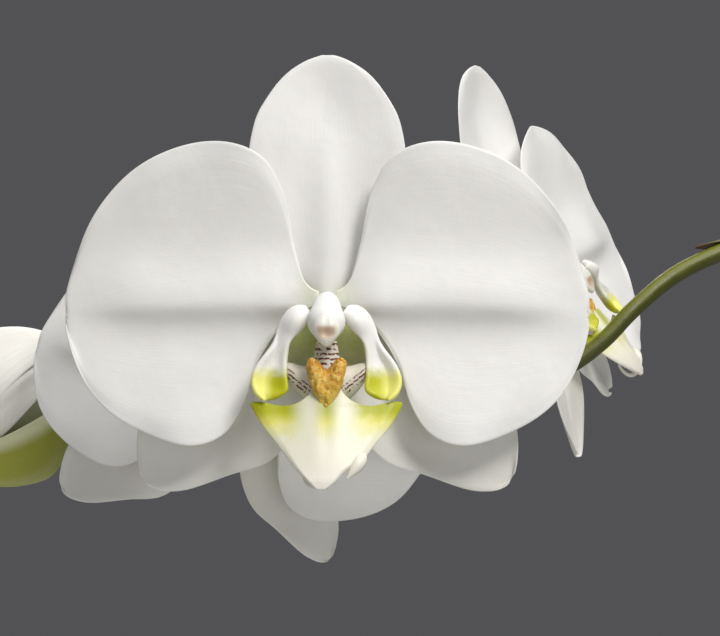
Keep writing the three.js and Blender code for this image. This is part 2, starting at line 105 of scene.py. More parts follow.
SPIKE_BASE_RADIUS = 2.5
SPIKE_TIP_RADIUS = 0.9
SPIKE_ARCH_SWELL = 0.3
SPIKE_ARCH_AT = 0.72
SPIKE_ARCH_REACH = 0.15
SPIKE_X = 4
SPIKE_Y = 18
SPIKE_ROUTE = [
    (0, 6, BARK_TOP + 15), (1, 13, BARK_TOP + 27), (SPIKE_X - 0.6, SPIKE_Y - 1, BARK_TOP + 47),
    (SPIKE_X, SPIKE_Y, BARK_TOP + 79), (SPIKE_X, SPIKE_Y, 260), (SPIKE_X, SPIKE_Y, 330),
    (SPIKE_X, SPIKE_Y, 385), (1, 16.5, 412), (-10, 13, 434), (-30, 7, 451), (-54, 1, 457.4),
    (-70, -3, 455), (-81, -6, 451), (-92, -10.5, 445.7), (-101.6, -15, 438), (-108.6, -17.6, 431),
    (-117, -19.6, 425), (-132, -20.5, 418.6), (-154, -12, 414.8), (-177, 0, 413.6),
    (-197, 9, 414.2), (-217, 17, 416), (-235, 22.6, 418.6), (-250, 25.6, 421.4),
    (-262, 26.6, 423.6),
]
STAKE_RADIUS = 2.2
STAKE_TOP = 404
STAKE_BOTTOM = 9.3
STAKE_X = SPIKE_X
STAKE_Y = 23
STAKE_NODES = [62, 128, 197, 261, 322, 379]

PETAL_THICKNESS = 0.9
COLUMN_BACK = 8
PEDICEL_RADIUS = 1.6
PEDICEL_STRAIGHT = 3
BUD_PEDICEL_RADIUS = 1

# Each flower: its middle, its turn in degrees, its size, where its stalk joins the spike and the
# points it passes; pose is the swing, lean and size of single pieces.
FLOWERS = {
    "flower_1": dict(at=(-170, -58, 440), yaw=0, pitch=0, roll=0, size=1, joins=0.8115,
                     by=[(-161, -40, 452), (-154, -29, 451), (-153, -16, 432)], pose={}),
    "flower_2": dict(at=(-190.4, -26, 421.4), yaw=2, pitch=-10, roll=15, size=0.82, joins=0.836,
                     by=[(-181, -10, 420)],
                     pose=dict(right_lateral_sepal=(3, 0, 0.97), lip=(0, 0, 0.78))),
    "flower_3": dict(at=(-115.5, 35, 449), yaw=61, pitch=-19, roll=-14, size=1, joins=0.791,
                     by=[(-138, 32, 437), (-146, 8, 425)],
                     pose=dict(dorsal_sepal=(12, -2, 1.05), lip=(0, -10, 0.78),
                               right_lateral_sepal=(6, -9, 0.92),
                               left_lateral_sepal=(-24, 0, 0.86))),
}
BUDS = {
    "opening_bud": dict(at=(-247, 4, 415.5), length=46, radius=18.6, tip=(-1, -0.12, -0.1),
                        joins=0.9185, by=[(-220, 9, 417)]),
    "bud_2": dict(at=(-265, 31, 438), length=19, radius=7.5, tip=(-0.6, 0.2, 0.8),
                  joins=0.976, by=[(-255, 28, 428)]),
    "bud_3": dict(at=(-278, 25, 421), length=12, radius=4.6, tip=(-1, -0.2, -0.1),
                  joins=0.997, by=[(-268, 26.3, 423)]),
}

# Edges of the flower's parts from claw to tip, as (across, up); the left-hand ones are mirrored.
PETAL_UPPER = [(1.6, 1.8), (4.6, 3.6), (7, 12), (9, 22), (13.5, 30), (22, 33.2), (32, 31.8),
               (42, 26.2), (50, 16), (54.6, 3), (55, -2.5)]
PETAL_LOWER = [(1.6, -1.4), (4.6, -2.2), (10, -6), (15, -14), (17.5, -22), (22, -28.5),
               (30, -30.4), (42, -26), (50, -19), (54.4, -9), (55, -5)]
DORSAL_EDGE = [(3.2, -0.5), (5.2, 4), (10, 9), (15, 18), (16.8, 28), (15.5, 37.5), (12.8, 43),
               (9, 47.9), (4.6, 50.9), (1, 52.1)]
LATERAL_OUTER = [(4.2, -1.8), (16, -3.6), (28, -9), (36.5, -17.5), (40, -26.5), (40.3, -33),
                 (39.6, -37)]
LATERAL_INNER = [(1.6, -4.6), (3.4, -16), (6.6, -27), (12, -34), (20.5, -37), (30, -40.3),
                 (36, -40.4), (38.6, -38.8)]
MIDLOBE_EDGE = [(2.0, -16), (3.4, -19.2), (6.2, -21.4), (10.6, -22.2), (15.6, -22.5), (15.0, -24.2),
                (10.6, -29), (7, -33.6), (4, -36.8), (1.6, -38.6)]
MIDLOBE_FREE_EDGE = MIDLOBE_EDGE[:7] + [(7.4, -32.8), (3.9, -34.9), (1.8, -37.2), (-0.4, -38.6)]
SIDE_LOBE_OUTER = [(4.2, -1.6), (6.6, -1.4), (9, -3.6), (11.6, -9.6), (14.4, -13.4), (15.6, -16.6),
                   (14.8, -19.4), (12.8, -20.8)]
SIDE_LOBE_INNER = [(3.2, -3), (4.6, -5.4), (7.2, -8.4), (8.2, -12), (8.2, -15.6), (7.9, -18.6),
                   (9.6, -19.9), (11.2, -20.6)]
LIP_THICKNESS = 1.3
LIP_RIM = 0.4
CIRRUS_ROUTE = [(0.8, -18.6, -37.4), (2.2, -17.8, -37.9), (3.6, -16.6, -37.4), (4.4, -15.4, -35.6),
                (3.6, -14.4, -33.8), (2.2, -14.4, -33.2)]
FREE_CIRRUS_ROUTE = [(7.9, -15.4, -31.4), (6.9, -16.8, -33.0), (5.7, -17.8, -34.6),
                     (4.4, -18.6, -36.2)]
COLUMN_ROUTE = [(0, COLUMN_BACK, 0), (0, 4, -0.4), (0, -4, -1.3), (0, -9, -3.3), (0, -11, -4.6)]

CAMERA_AT = (-163.1, -624, 436.2)
CAMERA_LENS = 135.08


# ---------------------------------------------------------------- modelling helpers

def curve_points(points, count, uniform=False):
    """Points evenly spaced along the smooth curve through the given ones."""
    p = [np.array(q, float) for q in points]
    if uniform:
        p = [p[0]] + p + [p[-1]]
    else:
        p = [2 * p[0] - p[1]] + p + [2 * p[-1] - p[-2]]
    found = []
    for a, b, c, d in zip(p, p[1:], p[2:], p[3:]):
        steps = [1.0 if uniform else max(1e-6, np.linalg.norm(v - u) ** 0.5)
                 for u, v in ((a, b), (b, c), (c, d))]
        k = np.cumsum([0.0] + steps)
        t = np.linspace(k[1], k[2], 40, endpoint=False)[:, None]
        mix = lambda u, v, i, j: (k[j] - t) / (k[j] - k[i]) * u + (t - k[i]) / (k[j] - k[i]) * v
        ab, bc, cd = mix(a, b, 0, 1), mix(b, c, 1, 2), mix(c, d, 2, 3)
        found.append(mix(mix(ab, bc, 0, 2), mix(bc, cd, 1, 3), 1, 2))
    found.append(p[-2][None, :])
    found = np.concatenate(found)
    length = np.concatenate([[0], np.cumsum(np.linalg.norm(np.diff(found, axis=0), axis=1))])
    wanted = np.linspace(0, length[-1], count)
    return np.stack([np.interp(wanted, length, found[:, i]) for i in range(found.shape[1])], axis=1)


def mirrored(edge):
    return [(-x, z) for x, z in edge]


def smoothstep(low, high, value):
    share = np.clip((value - low) / (high - low), 0, 1)
    return share * share * (3 - 2 * share)


def corners(piece):
    flat = np.empty(len(piece.data.vertices) * 3)
    piece.data.vertices.foreach_get("co", flat)
    return flat.reshape(-1, 3)


def set_corners(piece, places):
    piece.data.vertices.foreach_set("co", np.ascontiguousarray(places, float).ravel())
    piece.data.update()


def note(piece, name, values):
    """Stores a number or a place at every corner, for the piece's material."""
    values = np.asarray(values, float)
    kind = "FLOAT_VECTOR" if values.ndim == 2 else "FLOAT"
    layer = piece.data.attributes.new(name, kind, "POINT")
    layer.data.foreach_set("vector" if values.ndim == 2 else "value", values.ravel())


def only(piece):
    bpy.ops.object.select_all(action="DESELECT")
    piece.select_set(True)
    bpy.context.view_layer.objects.active = piece


def in_edit_mode(piece, *steps):
    only(piece)
    bpy.ops.object.mode_set(mode="EDIT")
    bpy.ops.mesh.select_all(action="SELECT")
    for step in steps:
        step()
    bpy.ops.object.mode_set(mode="OBJECT")


def face_outwards(piece):
    in_edit_mode(piece, lambda: bpy.ops.mesh.remove_doubles(threshold=1e-7),
                 lambda: bpy.ops.mesh.normals_make_consistent(inside=False))


def finish_modifier(piece, kind, **settings):
    only(piece)
    modifier = piece.modifiers.new(kind.lower(), kind)
    for key, value in settings.items():
        setattr(modifier, key, value)
    bpy.ops.object.modifier_apply(modifier=modifier.name)


def rounder(piece, levels):
    finish_modifier(piece, "SUBSURF", levels=levels, render_levels=levels)


def joined(pieces):
    only(pieces[0])
    for piece in pieces:
        piece.select_set(True)
    bpy.ops.object.join()
    return bpy.context.active_object


def place(piece, matrix):
    """Moves a piece that is in millimetres to its place in metres."""
    piece.data.transform(Matrix.Scale(MM, 4) @ matrix)
    piece.data.update()


def hand_over(piece, name, finish, slot, *nodes, angle=60):
    """Names a finished piece, gives it its material, and hides the CAD nodes it stands for."""
    piece.name = name
    piece.data.name = name
    piece.data.materials.clear()
    piece.data.materials.append(finish)
    only(piece)
    bpy.ops.object.shade_smooth_by_angle(angle=math.radians(angle))
    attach(piece, "root")
    if nodes:
        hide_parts(*nodes)


def sheet(surface, across, along, thickness, rim=0.35):
    """A thin blade: surface(share along, side across) gives its middle, thinner towards the rim."""
    bpy.ops.object.select_all(action="DESELECT")
    bpy.ops.mesh.primitive_grid_add(x_subdivisions=across, y_subdivisions=along, size=2)
    piece = bpy.context.active_object
    flat = corners(piece)
    side, share = flat[:, 0], (flat[:, 1] + 1) / 2
    set_corners(piece, surface(share, side))
    core = smoothstep(0, 0.16, 1 - np.abs(side)) * smoothstep(0, 0.08, 1 - share)
    group = piece.vertex_groups.new(name="core")
    for i, weight in enumerate(core):
        group.add([i], float(weight), "REPLACE")
    note(piece, "blade", np.stack([share, side, np.zeros_like(side)], axis=1))
    finish_modifier(piece, "SOLIDIFY", thickness=thickness, offset=0, use_even_offset=False,
                    vertex_group="core", thickness_vertex_group=rim)
    face_outwards(piece)
    rounder(piece, 1)
    return piece


def between(edge_a, edge_b, depth, across=30, along=38, thickness=PETAL_THICKNESS, rim=0.35):
    """A blade ruled between two edges; depth(x, z, share, side) is how far back it lies."""
    a, b = curve_points(edge_a, 400, True), curve_points(edge_b, 400, True)
    steps = np.linspace(0, 1, 400)

    def surface(share, side):
        s = (side + 1) / 2
        at = lambda edge, i: np.interp(share, steps, edge[:, i])
        x = at(a, 0) * (1 - s) + at(b, 0) * s
        z = at(a, 1) * (1 - s) + at(b, 1) * s
        return np.stack([x, depth(x, z, share, side), z], axis=1)
    return sheet(surface, across, along, thickness, rim)


def stalk(path, radii, sides=20, round_tip=True, levels=0):
    """A round stem along a path of evenly spaced points, with a radius at each."""
    path, radii = np.asarray(path, float), np.asarray(radii, float)
    if round_tip:
        end, ahead = path[-1], path[-1] - path[-2]
        ahead = ahead / np.linalg.norm(ahead)
        turns = np.radians([25, 45, 62, 76, 86])
        path = np.concatenate([path, [end + ahead * radii[-1] * math.sin(t) for t in turns]])
        radii = np.concatenate([radii, radii[-1] * np.cos(turns)])
    bpy.ops.object.select_all(action="DESELECT")
    bpy.ops.curve.primitive_nurbs_path_add()
    piece = bpy.context.active_object
    curve = piece.data
    curve.splines.clear()
    run = curve.splines.new("POLY")
    run.points.add(len(path) - 1)
    for point, at, radius in zip(run.points, path, radii):
        point.co = (*at, 1)
        point.radius = radius
    curve.dimensions = "3D"
    curve.twist_mode = "MINIMUM"
    curve.bevel_depth = 1
    curve.bevel_resolution = sides // 4 - 1
    curve.use_fill_caps = True
    only(piece)
    bpy.ops.object.convert(target="MESH")
    piece = bpy.context.active_object
    face_outwards(piece)
    if levels:
        rounder(piece, levels)
    at = corners(piece)
    nearest = np.array([np.argmin(((path - p) ** 2).sum(axis=1)) for p in at])
    note(piece, "along", nearest / (len(path) - 1))
    return piece


def turned(rings, segments=96):
    """A body turned about Z: a disc extruded and resized ring by ring, as (radius, height)."""
    bpy.ops.object.select_all(action="DESELECT")
    first, height = rings[0]
    bpy.ops.mesh.primitive_circle_add(vertices=segments, radius=first, fill_type="NGON",
                                      location=(0, 0, 0))
    piece = bpy.context.active_object
    bpy.ops.object.mode_set(mode="EDIT")
    bpy.ops.mesh.select_all(action="SELECT")
    bpy.ops.transform.translate(value=(0, 0, height))
    for radius, level in rings[1:]:
        bpy.ops.mesh.extrude_region_move(TRANSFORM_OT_translate={"value": (0, 0, level - height)})
        grow = radius / first
        bpy.ops.transform.resize(value=(grow, grow, 1), center_override=(0, 0, level))
        first, height = radius, level
    bpy.ops.mesh.select_all(action="DESELECT")
    bpy.ops.mesh.select_non_manifold()
    bpy.ops.mesh.edge_face_add()
    bpy.ops.object.mode_set(mode="OBJECT")
    face_outwards(piece)
    return piece


def egg(radii, at=(0, 0, 0), segments=32, rings=20):
    bpy.ops.object.select_all(action="DESELECT")
    bpy.ops.mesh.primitive_uv_sphere_add(segments=segments, ring_count=rings, radius=1)
    piece = bpy.context.active_object
    set_corners(piece, corners(piece) * np.array(radii) + np.array(at))
    return piece


# ---------------------------------------------------------------- material helpers

class Finish:
    """A material under construction: its node tree, its shader and short calls for its nodes."""

    def __init__(self, name, roughness=0.5, **sockets):
        self.material = bpy.data.materials.new(name)
        self.material.use_nodes = True
        self.tree = self.material.node_tree
        self.shader = self.tree.nodes["Principled BSDF"]
        self.shader.inputs["Roughness"].default_value = roughness
        for key, value in sockets.items():
            self.shader.inputs[key.replace("_", " ")].default_value = value

    def node(self, kind, **settings):
        node = self.tree.nodes.new(kind)
        for key, value in settings.items():
            setattr(node, key, value)
        return node

    def feed(self, socket, value):
        if isinstance(value, bpy.types.NodeSocket):
            self.tree.links.new(value, socket)
        elif isinstance(value, tuple) and len(value) == 3 and socket.type == "RGBA":
            socket.default_value = (*value, 1)
        else:
            socket.default_value = value

    def own(self):
        return self.node("ShaderNodeTexCoord").outputs["Object"]

    def noted(self, name, output="Vector"):
        return self.node("ShaderNodeAttribute", attribute_name=name).outputs[output]

    def stretched(self, vector, scale):
        node = self.node("ShaderNodeMapping")
        self.feed(node.inputs["Vector"], vector)
        node.inputs["Scale"].default_value = scale
        return node.outputs["Vector"]

    def noise(self, vector, scale, detail=4, roughness=0.55, distortion=0.0):
        node = self.node("ShaderNodeTexNoise")
        self.feed(node.inputs["Vector"], vector)
        node.inputs["Scale"].default_value = scale
        node.inputs["Detail"].default_value = detail
        node.inputs["Roughness"].default_value = roughness
        node.inputs["Distortion"].default_value = distortion
        return node.outputs["Fac"]

    def cracks(self, vector, scale):
        node = self.node("ShaderNodeTexVoronoi", feature="DISTANCE_TO_EDGE")
        self.feed(node.inputs["Vector"], vector)
        node.inputs["Scale"].default_value = scale
        return node.outputs["Distance"]

    def sums(self, operation, a, b=0.0):
        node = self.node("ShaderNodeMath", operation=operation)
        for socket, value in zip(node.inputs, (a, b)):
            self.feed(socket, value)
        return node.outputs[0]

    def ease(self, value, low, high, to_low=0.0, to_high=1.0):
        node = self.node("ShaderNodeMapRange", interpolation_type="SMOOTHSTEP")
        for socket, v in zip(node.inputs, (value, low, high, to_low, to_high)):
            self.feed(socket, v)
        return node.outputs[0]

    def parts(self, vector):
        node = self.node("ShaderNodeSeparateXYZ")
        self.feed(node.inputs[0], vector)
        return node.outputs

    def mix(self, share, a, b):
        node = self.node("ShaderNodeMix", data_type="RGBA")
        self.feed(node.inputs[0], share)
        self.feed(node.inputs[6], a)
        self.feed(node.inputs[7], b)
        return node.outputs[2]

    def colour(self, value):
        self.feed(self.shader.inputs["Base Color"], value)

    def rough(self, value, low, high):
        self.feed(self.shader.inputs["Roughness"], self.ease(value, 0.3, 0.7, low, high))

    def relief(self, *layers):
        """Bump layers as (height, distance in millimetres)."""
        normal = None
        for height, distance in layers:
            node = self.node("ShaderNodeBump")
            node.inputs["Distance"].default_value = distance * MM
            self.feed(node.inputs["Height"], height)
            if normal is not None:
                self.feed(node.inputs["Normal"], normal)
            normal = node.outputs["Normal"]
        self.feed(self.shader.inputs["Normal"], normal)


def thin_flesh(finish, weight, scale_mm):
    finish.shader.inputs["Subsurface Weight"].default_value = weight
    finish.shader.inputs["Subsurface Radius"].default_value = (1.0, 0.9, 0.7)
    finish.shader.inputs["Subsurface Scale"].default_value = scale_mm * MM


# ---------------------------------------------------------------- materials

def petal_finish(name, tone, claw, claw_reach):
    """White tissue with fine veins that spread from the claw, and a tint at the claw."""
    f = Finish(name, 0.48, Specular_IOR_Level=0.35, Sheen_Weight=0.12)
    blade = f.noted("blade")
    along = f.parts(blade)[0]
    veins = f.noise(f.stretched(blade, (2.2, 34, 1)), 1.6, 3, 0.6, 0.4)
    cells = f.noise(f.own(), 2400, 2)
    cloud = f.noise(f.own(), 60, 3)
    base = f.mix(f.ease(cloud, 0.3, 0.7), tuple(0.955 * c for c in tone), tone)
    veins = f.sums("MULTIPLY", veins, f.ease(along, 0.95, 0.7))
    base = f.mix(f.ease(veins, 0.52, 0.74, 0, 0.16), base, tuple(0.9 * c for c in tone))
    f.colour(f.mix(f.ease(along, 0.0, claw_reach, 0.85, 0), base, claw))
    f.rough(cloud, 0.42, 0.55)
    f.relief((veins, 0.035), (cloud, 0.5), (cells, 0.02))
    thin_flesh(f, 0.16, 1.6)
    return f.material


def midlobe_finish():
    f = Finish("lip_cream_and_yellow", 0.42, Specular_IOR_Level=0.4)
    x, _, z = f.parts(f.noted("flower"))
    wide = f.sums("ABSOLUTE", x)
    grain = f.noise(f.noted("flower"), 0.5, 4)
    fade = f.ease(f.sums("ADD", z, f.sums("MULTIPLY", f.sums("SUBTRACT", grain, 0.5), 4.0)),
                  -30.0, -23.2)
    wings = f.sums("MULTIPLY", fade, f.ease(wide, 3.6, 8.5))
    middle = f.sums("MULTIPLY", f.ease(z, -30, -24), f.ease(wide, 3.6, 0.0, 0, 0.85))
    cream = f.mix(f.ease(z, -38, -25), (0.84, 0.81, 0.72), (0.80, 0.79, 0.62))
    yellow = f.mix(f.ease(z, -25.8, -22.4), (0.72, 0.68, 0.08), (0.42, 0.44, 0.012))
    f.colour(f.mix(f.sums("MAXIMUM", wings, middle), cream, yellow))
    f.rough(grain, 0.36, 0.5)
    veins = f.noise(f.stretched(f.noted("blade"), (2, 26, 1)), 2, 3)
    f.relief((veins, 0.05), (f.noise(f.own(), 2200, 2), 0.02))
    thin_flesh(f, 0.15, 1.4)
    return f.material


def side_lobe_finish():
    f = Finish("side_lobe_white_and_yellow", 0.42, Specular_IOR_Level=0.4)
    x, _, z = f.parts(f.noted("flower"))
    wide = f.sums("ABSOLUTE", x)
    grain = f.noise(f.noted("flower"), 0.6, 4)
    low = f.ease(f.sums("ADD", z, f.sums("MULTIPLY", f.sums("SUBTRACT", grain, 0.5), 3.0)),
                 -13.2, -16.6)
    yellow = f.mix(f.ease(wide, 10.5, 13.2), (0.50, 0.50, 0.01), (0.78, 0.76, 0.20))
    # painted shade: the inner, lower part of each side lobe, beside the throat, is greyed towards olive
    white = f.mix(f.sums("MULTIPLY", f.ease(wide, 10.2, 8.0), f.ease(z, -7.5, -12, 0, 0.45)),
                  (0.87, 0.86, 0.83), (0.60, 0.63, 0.42))
    f.colour(f.mix(low, white, yellow))
    f.rough(grain, 0.36, 0.5)
    f.relief((f.noise(f.stretched(f.noted("blade"), (2, 20, 1)), 2, 3), 0.05),
             (f.noise(f.own(), 2200, 2), 0.02))
    thin_flesh(f, 0.15, 1.4)
    return f.material


def throat_painted_shade_finish():
    f = Finish("throat_olive_painted_shade", 0.5, Specular_IOR_Level=0.3)
    _, _, z = f.parts(f.noted("flower"))
    cloud = f.noise(f.noted("flower"), 0.5, 4)
    # painted shade: the throat's olive stands in for the shadow in the recess behind the side lobes,
    # paler towards its lower end
    olive = f.mix(cloud, (0.40, 0.44, 0.15), (0.50, 0.53, 0.22))
    f.colour(f.mix(f.ease(z, -9, -15), olive, (0.60, 0.60, 0.40)))
    f.rough(cloud, 0.4, 0.6)
    f.relief((cloud, 0.2))
    thin_flesh(f, 0.1, 1.2)
    return f.material


def dashed_finish():
    """Pinkish white flesh with short red-brown dashes in rows."""
    f = Finish("lip_dashed", 0.45, Specular_IOR_Level=0.35)
    place_at = f.noted("flower")
    x, _, z = f.parts(place_at)
    wide = f.sums("ABSOLUTE", x)
    drift = f.noise(f.stretched(place_at, (0.9, 0.2, 1.4)), 1.0, 2)
    slope = f.sums("MULTIPLY", f.sums("MAXIMUM", f.sums("SUBTRACT", wide, 2.8), 0.0), -0.8)
    row = f.sums("ADD", f.sums("ADD", z, slope), f.sums("MULTIPLY", drift, 0.7))
    stripes = f.sums("SINE", f.sums("MULTIPLY", row, 6.2))
    gaps = f.noise(f.stretched(place_at, (1.0, 0.2, 1.0)), 1.5, 1)
    band = f.sums("MAXIMUM", f.ease(wide, 3.0, 2.6),
                  f.sums("MULTIPLY", f.ease(row, -20.9, -20.5), f.ease(row, -17.7, -18.1)))
    broken = f.sums("MULTIPLY", f.ease(stripes, 0.0, 0.4), f.ease(gaps, 0.44, 0.5))
    dashes = f.sums("MULTIPLY", broken, band)
    cloud = f.noise(place_at, 0.4, 3)
    flesh = f.mix(cloud, (0.62, 0.56, 0.47), (0.70, 0.68, 0.56))
    flesh = f.mix(f.ease(z, -17.5, -21.5), flesh, (0.66, 0.68, 0.40))
    kept = f.sums("MULTIPLY", f.ease(wide, 9.0, 8.2), f.ease(z, -20.2, -19.2))
    f.colour(f.mix(f.sums("MULTIPLY", dashes, kept), flesh, (0.13, 0.022, 0.028)))
    f.rough(cloud, 0.4, 0.55)
    f.relief((cloud, 0.12))
    thin_flesh(f, 0.08, 1.0)
    return f.material


def callus_finish():
    f = Finish("callus_orange", 0.4, Specular_IOR_Level=0.4)
    place_at = f.noted("flower")
    _, _, z = f.parts(place_at)
    lumps = f.noise(place_at, 1.1, 4)
    tone = f.mix(f.ease(z, -21.5, -14), (0.68, 0.46, 0.06), (0.70, 0.33, 0.035))
    tone = f.mix(f.ease(lumps, 0.4, 0.65), tone, (0.80, 0.56, 0.13))
    tone = f.mix(f.ease(z, -22.2, -23.6), tone, (0.62, 0.36, 0.05))
    specks = f.ease(f.noise(f.stretched(place_at, (1, 1, 0.8)), 1.7, 2), 0.60, 0.66)
    f.colour(f.mix(f.sums("MULTIPLY", specks, 0.7), tone, (0.28, 0.09, 0.03)))
    f.rough(lumps, 0.32, 0.5)
    f.relief((lumps, 0.35))
    thin_flesh(f, 0.1, 1.0)
    return f.material


def column_finish():
    f = Finish("column_waxy_white", 0.34, Specular_IOR_Level=0.5)
    cloud = f.noise(f.noted("flower"), 0.5, 3)
    _, _, z = f.parts(f.noted("flower"))
    white = f.mix(cloud, (0.84, 0.84, 0.80), (0.90, 0.90, 0.87))
    f.colour(f.mix(f.ease(z, -6.5, -9.5), white, (0.80, 0.76, 0.66)))
    f.rough(cloud, 0.28, 0.4)
    f.relief((f.noise(f.own(), 1800, 2), 0.03))
    thin_flesh(f, 0.18, 1.4)
    return f.material


def anther_finish():
    f = Finish("anther_cap_cream", 0.36, Specular_IOR_Level=0.45)
    x, _, z = f.parts(f.noted("flower"))
    wide = f.sums("ABSOLUTE", x)
    cloud = f.noise(f.noted("flower"), 1.2, 3)
    down = f.sums("SUBTRACT", z, f.sums("MULTIPLY", f.sums("MULTIPLY", wide, wide), 0.22))
    patch = f.sums("MULTIPLY", f.ease(wide, 2.4, 1.4),
                   f.sums("MULTIPLY", f.ease(z, -5.0, -6.0), f.ease(down, -8.9, -7.3)))
    cream = f.mix(cloud, (0.80, 0.77, 0.69), (0.86, 0.84, 0.78))
    f.colour(f.mix(patch, cream, (0.62, 0.46, 0.33)))
    f.rough(cloud, 0.3, 0.42)
    f.relief((cloud, 0.08))
    thin_flesh(f, 0.12, 1.0)
    return f.material


def stem_finish_painted_light(name, dark, light):
    """Green stalk with painted light and shade: lighter where its surface faces up, darker where it faces
    down; with fine speckle and lengthwise ribs.
    """
    f = Finish(name, 0.42, Specular_IOR_Level=0.45)
    # painted light and shade: the stalk's green runs from dark where its surface faces down to light
    # where it faces up
    up = f.parts(f.node("ShaderNodeNewGeometry").outputs["Normal"])[2]
    cloud = f.noise(f.own(), 140, 4)
    speck = f.noise(f.own(), 900, 2)
    tone = f.mix(f.ease(f.sums("ADD", up, f.sums("SUBTRACT", cloud, 0.5)), -0.1, 0.9), dark, light)
    f.colour(f.mix(f.ease(speck, 0.6, 0.75, 0, 0.45), tone, tuple(0.55 * c for c in dark)))
    f.rough(cloud, 0.34, 0.5)
    f.relief((cloud, 0.15), (speck, 0.04))
    thin_flesh(f, 0.06, 1.0)
    return f.material


def bract_finish():
    f = Finish("bract_brown_green", 0.6)
    along = f.parts(f.noted("blade"))[0]
    fibre = f.noise(f.stretched(f.noted("blade"), (3, 22, 1)), 2, 3)
    green = f.mix(fibre, (0.16, 0.17, 0.05), (0.25, 0.25, 0.08))
    f.colour(f.mix(f.ease(along, 0.3, 0.95), green, (0.14, 0.07, 0.035)))
    f.rough(fibre, 0.5, 0.7)
    f.relief((fibre, 0.15))
    return f.material


def bud_finish(name, pale, green, green_at_base, rim=None):
    """Bud tissue, greener towards the stalk, with lengthwise veins."""
    f = Finish(name, 0.45, Specular_IOR_Level=0.35)
    blade = f.noted("blade")
    along = f.parts(blade)[0]
    cloud = f.noise(f.own(), 90, 4)
    veins = f.noise(f.stretched(blade, (2, 18, 1)), 2, 3)
    share = f.ease(f.sums("ADD", along, f.sums("MULTIPLY", f.sums("SUBTRACT", cloud, 0.5), 0.3)),
                   0.0, green_at_base)
    tone = f.mix(share, green, pale)
    tone = f.mix(f.ease(veins, 0.5, 0.75, 0, 0.25), tone, tuple(0.8 * c for c in green))
    if rim:
        tone = f.mix(f.ease(f.parts(blade)[1], -0.58, -0.9), tone, rim)
    f.colour(tone)
    f.rough(cloud, 0.38, 0.52)
    f.relief((veins, 0.15), (f.noise(f.own(), 1500, 2), 0.03))
    thin_flesh(f, 0.12, 1.4)
    return f.material


def leaf_finish():
    """Deep green leather with a paler midrib, soft cloudy mottling and fine lengthwise lines."""
    f = Finish("leaf_green", 0.36, Specular_IOR_Level=0.5, Coat_Weight=0.18, Coat_Roughness=0.25)
    blade = f.noted("blade")
    along, across, _ = f.parts(blade)
    lines = f.noise(f.stretched(blade, (1.2, 46, 1)), 1.5, 3)
    cloud = f.noise(f.own(), 34, 5)
    fine = f.noise(f.own(), 420, 3)
    tone = f.mix(f.ease(cloud, 0.3, 0.72), (0.028, 0.072, 0.018), (0.070, 0.135, 0.030))
    tone = f.mix(f.ease(lines, 0.45, 0.75, 0, 0.35), tone, (0.095, 0.16, 0.045))
    wide = f.sums("ABSOLUTE", across)
    tone = f.mix(f.ease(wide, 0.05, 0.0, 0, 0.55), tone, (0.16, 0.22, 0.075))
    tone = f.mix(f.ease(wide, 0.95, 1.0, 0, 0.5), tone, (0.11, 0.13, 0.05))
    down = f.ease(f.parts(f.node("ShaderNodeNewGeometry").outputs["Normal"])[2], 0.1, -0.4, 0, 0.6)
    tone = f.mix(down, tone, (0.13, 0.19, 0.075))
    f.colour(f.mix(f.ease(along, 0.10, 0.0, 0, 0.7), tone, (0.24, 0.29, 0.11)))
    f.rough(cloud, 0.27, 0.43)
    f.relief((lines, 0.18), (cloud, 0.5), (fine, 0.05))
    return f.material


def root_finish():
    """Silvery velamen over green, with a bare green growing tip."""
    f = Finish("root_silver_green", 0.7)
    along = f.noted("along", "Fac")
    cloud = f.noise(f.own(), 160, 5)
    crust = f.noise(f.own(), 900, 3)
    silver = f.mix(f.ease(cloud, 0.3, 0.7), (0.36, 0.40, 0.31), (0.52, 0.54, 0.46))
    silver = f.mix(f.ease(crust, 0.55, 0.75, 0, 0.5), silver, (0.26, 0.24, 0.17))
    f.colour(f.mix(f.ease(along, 0.86, 0.95), silver, (0.16, 0.27, 0.07)))
    f.rough(cloud, 0.55, 0.85)
    f.relief((cloud, 0.5), (crust, 0.12))
    return f.material


def bark_finish():
    """Fir bark: reddish brown plates with dark cracks and pale fibre."""
    f = Finish("fir_bark", 0.88)
    tone = f.noted("chip", "Fac")
    fibre = f.noise(f.stretched(f.own(), (1, 2.6, 1)), 260, 6, 0.65, 0.5)
    patch = f.noise(f.own(), 70, 4)
    dark = f.mix(tone, (0.055, 0.026, 0.014), (0.14, 0.068, 0.034))
    light = f.mix(tone, (0.17, 0.085, 0.045), (0.30, 0.17, 0.095))
    f.colour(f.mix(f.ease(f.sums("ADD", fibre, f.sums("MULTIPLY", patch, 0.4)), 0.45, 0.95),
                   dark, light))
    f.rough(fibre, 0.78, 0.95)
    f.relief((fibre, 0.7), (patch, 0.8))
    return f.material


def glaze_finish():
    """Off-white glaze, faintly crazed and speckled, over a bare clay foot."""
    f = Finish("cover_pot_glaze", 0.16, Coat_Weight=0.5, Coat_Roughness=0.08)
    height = f.parts(f.own())[2]
    cloud = f.noise(f.own(), 22, 5)
    craze = f.cracks(f.own(), 130)
    speck = f.ease(f.noise(f.own(), 520, 1), 0.72, 0.76)
    glaze = f.mix(f.ease(cloud, 0.3, 0.7), (0.66, 0.645, 0.61), (0.76, 0.75, 0.72))
    glaze = f.mix(f.ease(craze, 0.018, 0.0, 0, 0.22), glaze, (0.45, 0.42, 0.37))
    glaze = f.mix(f.sums("MULTIPLY", speck, 0.5), glaze, (0.30, 0.24, 0.18))
    edge = f.sums("ADD", height, f.sums("MULTIPLY", f.sums("SUBTRACT", cloud, 0.5), 0.0016))
    f.colour(f.mix(f.ease(edge, 0.0030, 0.0024), glaze, (0.42, 0.31, 0.22)))
    f.feed(f.shader.inputs["Roughness"], f.ease(edge, 0.0030, 0.0024, 0.16, 0.8))
    f.relief((cloud, 0.5), (f.noise(f.own(), 300, 2), 0.03))
    return f.material


